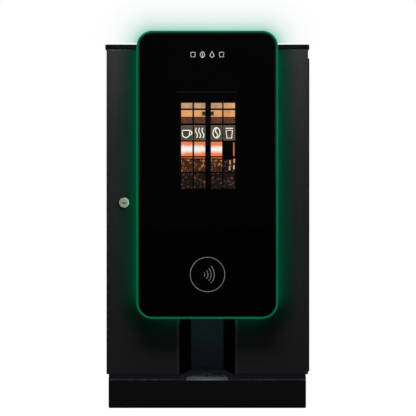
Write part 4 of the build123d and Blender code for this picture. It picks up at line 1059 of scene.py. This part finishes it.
def beans():
    """Coffee beans heaped in the hopper."""

    def build(bm):
        x0, x1, y0, y1 = -0.206, -0.096, -0.127, 0.066
        for layer, height in enumerate((0.738, 0.745)):
            for column in range(11):
                for row in range(17):
                    x = x0 + (column + 0.5 + random.uniform(-0.3, 0.3)) * (x1 - x0) / 11
                    y = y0 + (row + 0.5 + random.uniform(-0.3, 0.3)) * (y1 - y0) / 17
                    z = height + random.uniform(-2, 2) * MM + 4 * MM * math.cos((y + 0.03) * 16)
                    axis = Vector((random.uniform(-1, 1), random.uniform(-1, 1), random.uniform(-1, 1)))
                    turn = Matrix.Rotation(random.uniform(0, 6.3), 3, axis.normalized())
                    bean(bm, (x, y, z), turn, random.uniform(5.0, 6.2) * MM)

    add_piece("coffee_beans", build, "root", bean_brown, smooth=True)

    def core(bm):
        # the beans' mass down the funnel, a little inside its walls
        loops = ((-0.2075, -0.0945, -0.1285, 0.0675, 0.739), (-0.2075, -0.0945, -0.1285, 0.0675, 0.727))
        loops += ((-0.166, -0.134, -0.076, -0.044, 0.652),)
        rows = []
        for x0, x1, y0, y1, z in loops:
            rows.append([bm.verts.new(p) for p in ((x0, y0, z), (x1, y0, z), (x1, y1, z), (x0, y1, z))])
        for here, there in zip(rows, rows[1:]):
            for i in range(4):
                bm.faces.new((here[i], here[(i + 1) % 4], there[(i + 1) % 4], there[i]))
        bm.faces.new(rows[0])
        bm.faces.new(rows[-1])

    add_piece("bean_mass", core, "root", bean_mass)


def powders():
    """Drink powder heaped above the auger in each canister."""

    def heap(x0, peak):
        def build(bm):
            columns, rows = 14, 30
            grid = []
            for i in range(columns + 1):
                line = []
                for j in range(rows + 1):
                    u, v = i / columns, j / rows
                    x = x0 - 0.0385 + 0.077 * u
                    y = -0.1285 + 0.202 * v
                    z = 0.668 + peak * math.sin(math.pi * v) * (0.6 + 0.4 * math.sin(math.pi * u))
                    line.append(bm.verts.new((x, y, z + random.uniform(-0.8, 0.8) * MM)))
                grid.append(line)
            for i in range(columns):
                for j in range(rows):
                    bm.faces.new((grid[i][j], grid[i + 1][j], grid[i + 1][j + 1], grid[i][j + 1]))
            edge = [grid[i][0] for i in range(columns + 1)] + [grid[columns][j] for j in range(1, rows + 1)]
            edge += [grid[i][rows] for i in range(columns - 1, -1, -1)]
            edge += [grid[0][j] for j in range(rows - 1, 0, -1)]
            floor = [bm.verts.new((v.co.x, v.co.y, 0.657)) for v in edge]
            for i in range(len(edge)):
                j = (i + 1) % len(edge)
                bm.faces.new((edge[i], edge[j], floor[j], floor[i]))
            bm.faces.new(floor)

        return build

    add_piece("milk_powder", heap(-0.03, 0.035), "root", milk_powder, smooth=True)
    add_piece("chocolate_powder", heap(0.07, 0.022), "root", chocolate_powder, smooth=True)


def board_details():
    """The control board's green face with its parts, seen from the cabinet's middle."""
    face = 209.1
    front = ((face * MM, -0.06, 0.31), ((face + 0.4) * MM, 0.06, 0.51))
    blocks("board_face", "root", board_green, [front])
    chips = []
    for y, z, wide, tall, deep in (
        (-0.045, 0.33, 16, 10, 3),
        (-0.02, 0.33, 10, 10, 2.5),
        (0.02, 0.335, 22, 14, 3),
        (0.045, 0.37, 10, 22, 4),
        (-0.045, 0.43, 12, 24, 5),
        (0.03, 0.42, 24, 10, 3),
        (-0.01, 0.44, 12, 12, 3),
        (0.045, 0.45, 8, 18, 6),
    ):
        low = ((face - deep) * MM, y - wide / 2 * MM, z - tall / 2 * MM)
        chips.append((low, ((face + 0.1) * MM, y + wide / 2 * MM, z + tall / 2 * MM)))
    blocks("board_chips", "root", black_plastic, chips)
    stands = ((-0.05, 0.36), (-0.035, 0.36), (0.0, 0.46), (0.02, 0.39), (0.05, 0.41))
    cans = [(face * MM, y, z) for y, z in stands]
    lathed("board_capacitors", [(3.6, 0), (3.6, 9), (3.2, 9.6)], cans, "-x", "root", aluminium, 16)


def boiler_details():
    """Two clamp bands and the terminal caps of the boiler."""

    strap = [(r * MM, h * MM) for r, h in ((55.05, 0), (56.2, 0), (56.2, 8), (55.05, 8), (55.05, 0))]

    def clamps(bm):
        for z in (0.205, 0.315):
            lathe(bm, strap, Vector((0.12, 0.175, z)), FACING["+z"], 48)

    add_piece("boiler_clamps", clamps, "root", steel)
    caps = millimetres((100, 175, 388), (140, 175, 388))
    lathed("boiler_terminals", [(4.0, 0), (4.0, 6), (2.6, 8), (2.6, 11)], caps, "+z", "root", silicone, 16)


def canister_details():
    """Coloured key tabs on the canister lids."""
    for name, x, finish in (("milk_tab", -0.03, white_plastic), ("chocolate_tab", 0.07, brown_plastic)):
        tab = ((x - 14 * MM, -0.118, 0.753), (x + 14 * MM, -0.1, 0.7545))
        blocks(name, "root", finish, [tab], 0.6 * MM)


# ---- stage
def make_stage():
    """A pale floor that looks white to the camera, but stays in shade under the base."""
    bpy.ops.mesh.primitive_plane_add(size=60, location=(0, 0, 0))
    floor = bpy.context.object
    floor.name = "floor"
    s = Shader("floor")
    s.colour(s.two_tone(s.noise(0.05), (0.12, 0.12, 0.12), (0.14, 0.14, 0.14)))
    s.set(Roughness=0.9, Specular_IOR_Level=0.1)
    path = s.node("ShaderNodeLightPath")
    lit = s.node("ShaderNodeEmission")
    mix = s.node("ShaderNodeMixShader")
    across, along = s.maths("ABSOLUTE", s.axis("X")), s.maths("ABSOLUTE", s.axis("Y"))
    clear = s.spread(s.maths("MAXIMUM", across, along), 0, 0.92, start=0.19, end=0.205)
    share = s.maths("MULTIPLY", path.outputs["Is Camera Ray"], clear)
    lit.inputs["Strength"].default_value = 1.12
    s.link(share, mix.inputs["Fac"])
    s.link(s.shader.outputs[0], mix.inputs[1])
    s.link(lit.outputs[0], mix.inputs[2])
    s.surface(mix.outputs[0])
    floor.data.materials.append(s.material)


def make_halo():
    """The soft green bloom of the lit edge against the pale room: a tinted pane that goes with the door."""
    reach = 0.11
    middle = (GUIDE_MIDDLE.x, GUIDE_MIDDLE.z)
    near = rounded_loop(middle, GUIDE_WIDTH, GUIDE_HEIGHT, GUIDE_RADIUS)
    far = rounded_loop(middle, GUIDE_WIDTH + 2 * reach, GUIDE_HEIGHT + 2 * reach, GUIDE_RADIUS + reach)

    def build(bm):
        rings = [[bm.verts.new((x, GUIDE_HIGH.y, z)) for x, z in loop] for loop in (near, far)]
        for i in range(len(near)):
            j = (i + 1) % len(near)
            bm.faces.new((rings[0][i], rings[0][j], rings[1][j], rings[1][i]))
        geometry = bm.verts[:] + bm.edges[:] + bm.faces[:]
        cut = {"plane_co": (0, 0, LID_TOP), "plane_no": (0, 0, 1), "clear_inner": True}
        bmesh.ops.bisect_plane(bm, geom=geometry, **cut)

    s = Shader("edge_bloom")
    fade = s.maths("EXPONENT", s.maths("DIVIDE", s.outside_front(), -0.022))
    clear = s.node("ShaderNodeBsdfTransparent")
    tint = s.two_tone(s.maths("MULTIPLY", fade, 0.78), (1.0, 1.0, 1.0), (0.07, 0.52, 0.37))
    s.link(tint, clear.inputs["Color"])
    s.surface(clear.outputs[0])
    pane = mesh_object("edge_bloom", build, [s.material])
    pane.visible_diffuse = False
    pane.visible_glossy = False
    pane.visible_shadow = False
    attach(pane, "door")


bpy.context.scene.view_settings.view_transform = "Standard"
make_camera()
make_world()
make_lights()
dress_nodes()
display_picture()
glass_marks()
back_lighting()
base_trim()
base_gap_shade_strip()
hinge_cover()
lock_details()
cup_space_details()
sheet_metal_screws()
back_details()
lid_details()
beans()
powders()
board_details()
boiler_details()
canister_details()
make_stage()
make_halo()
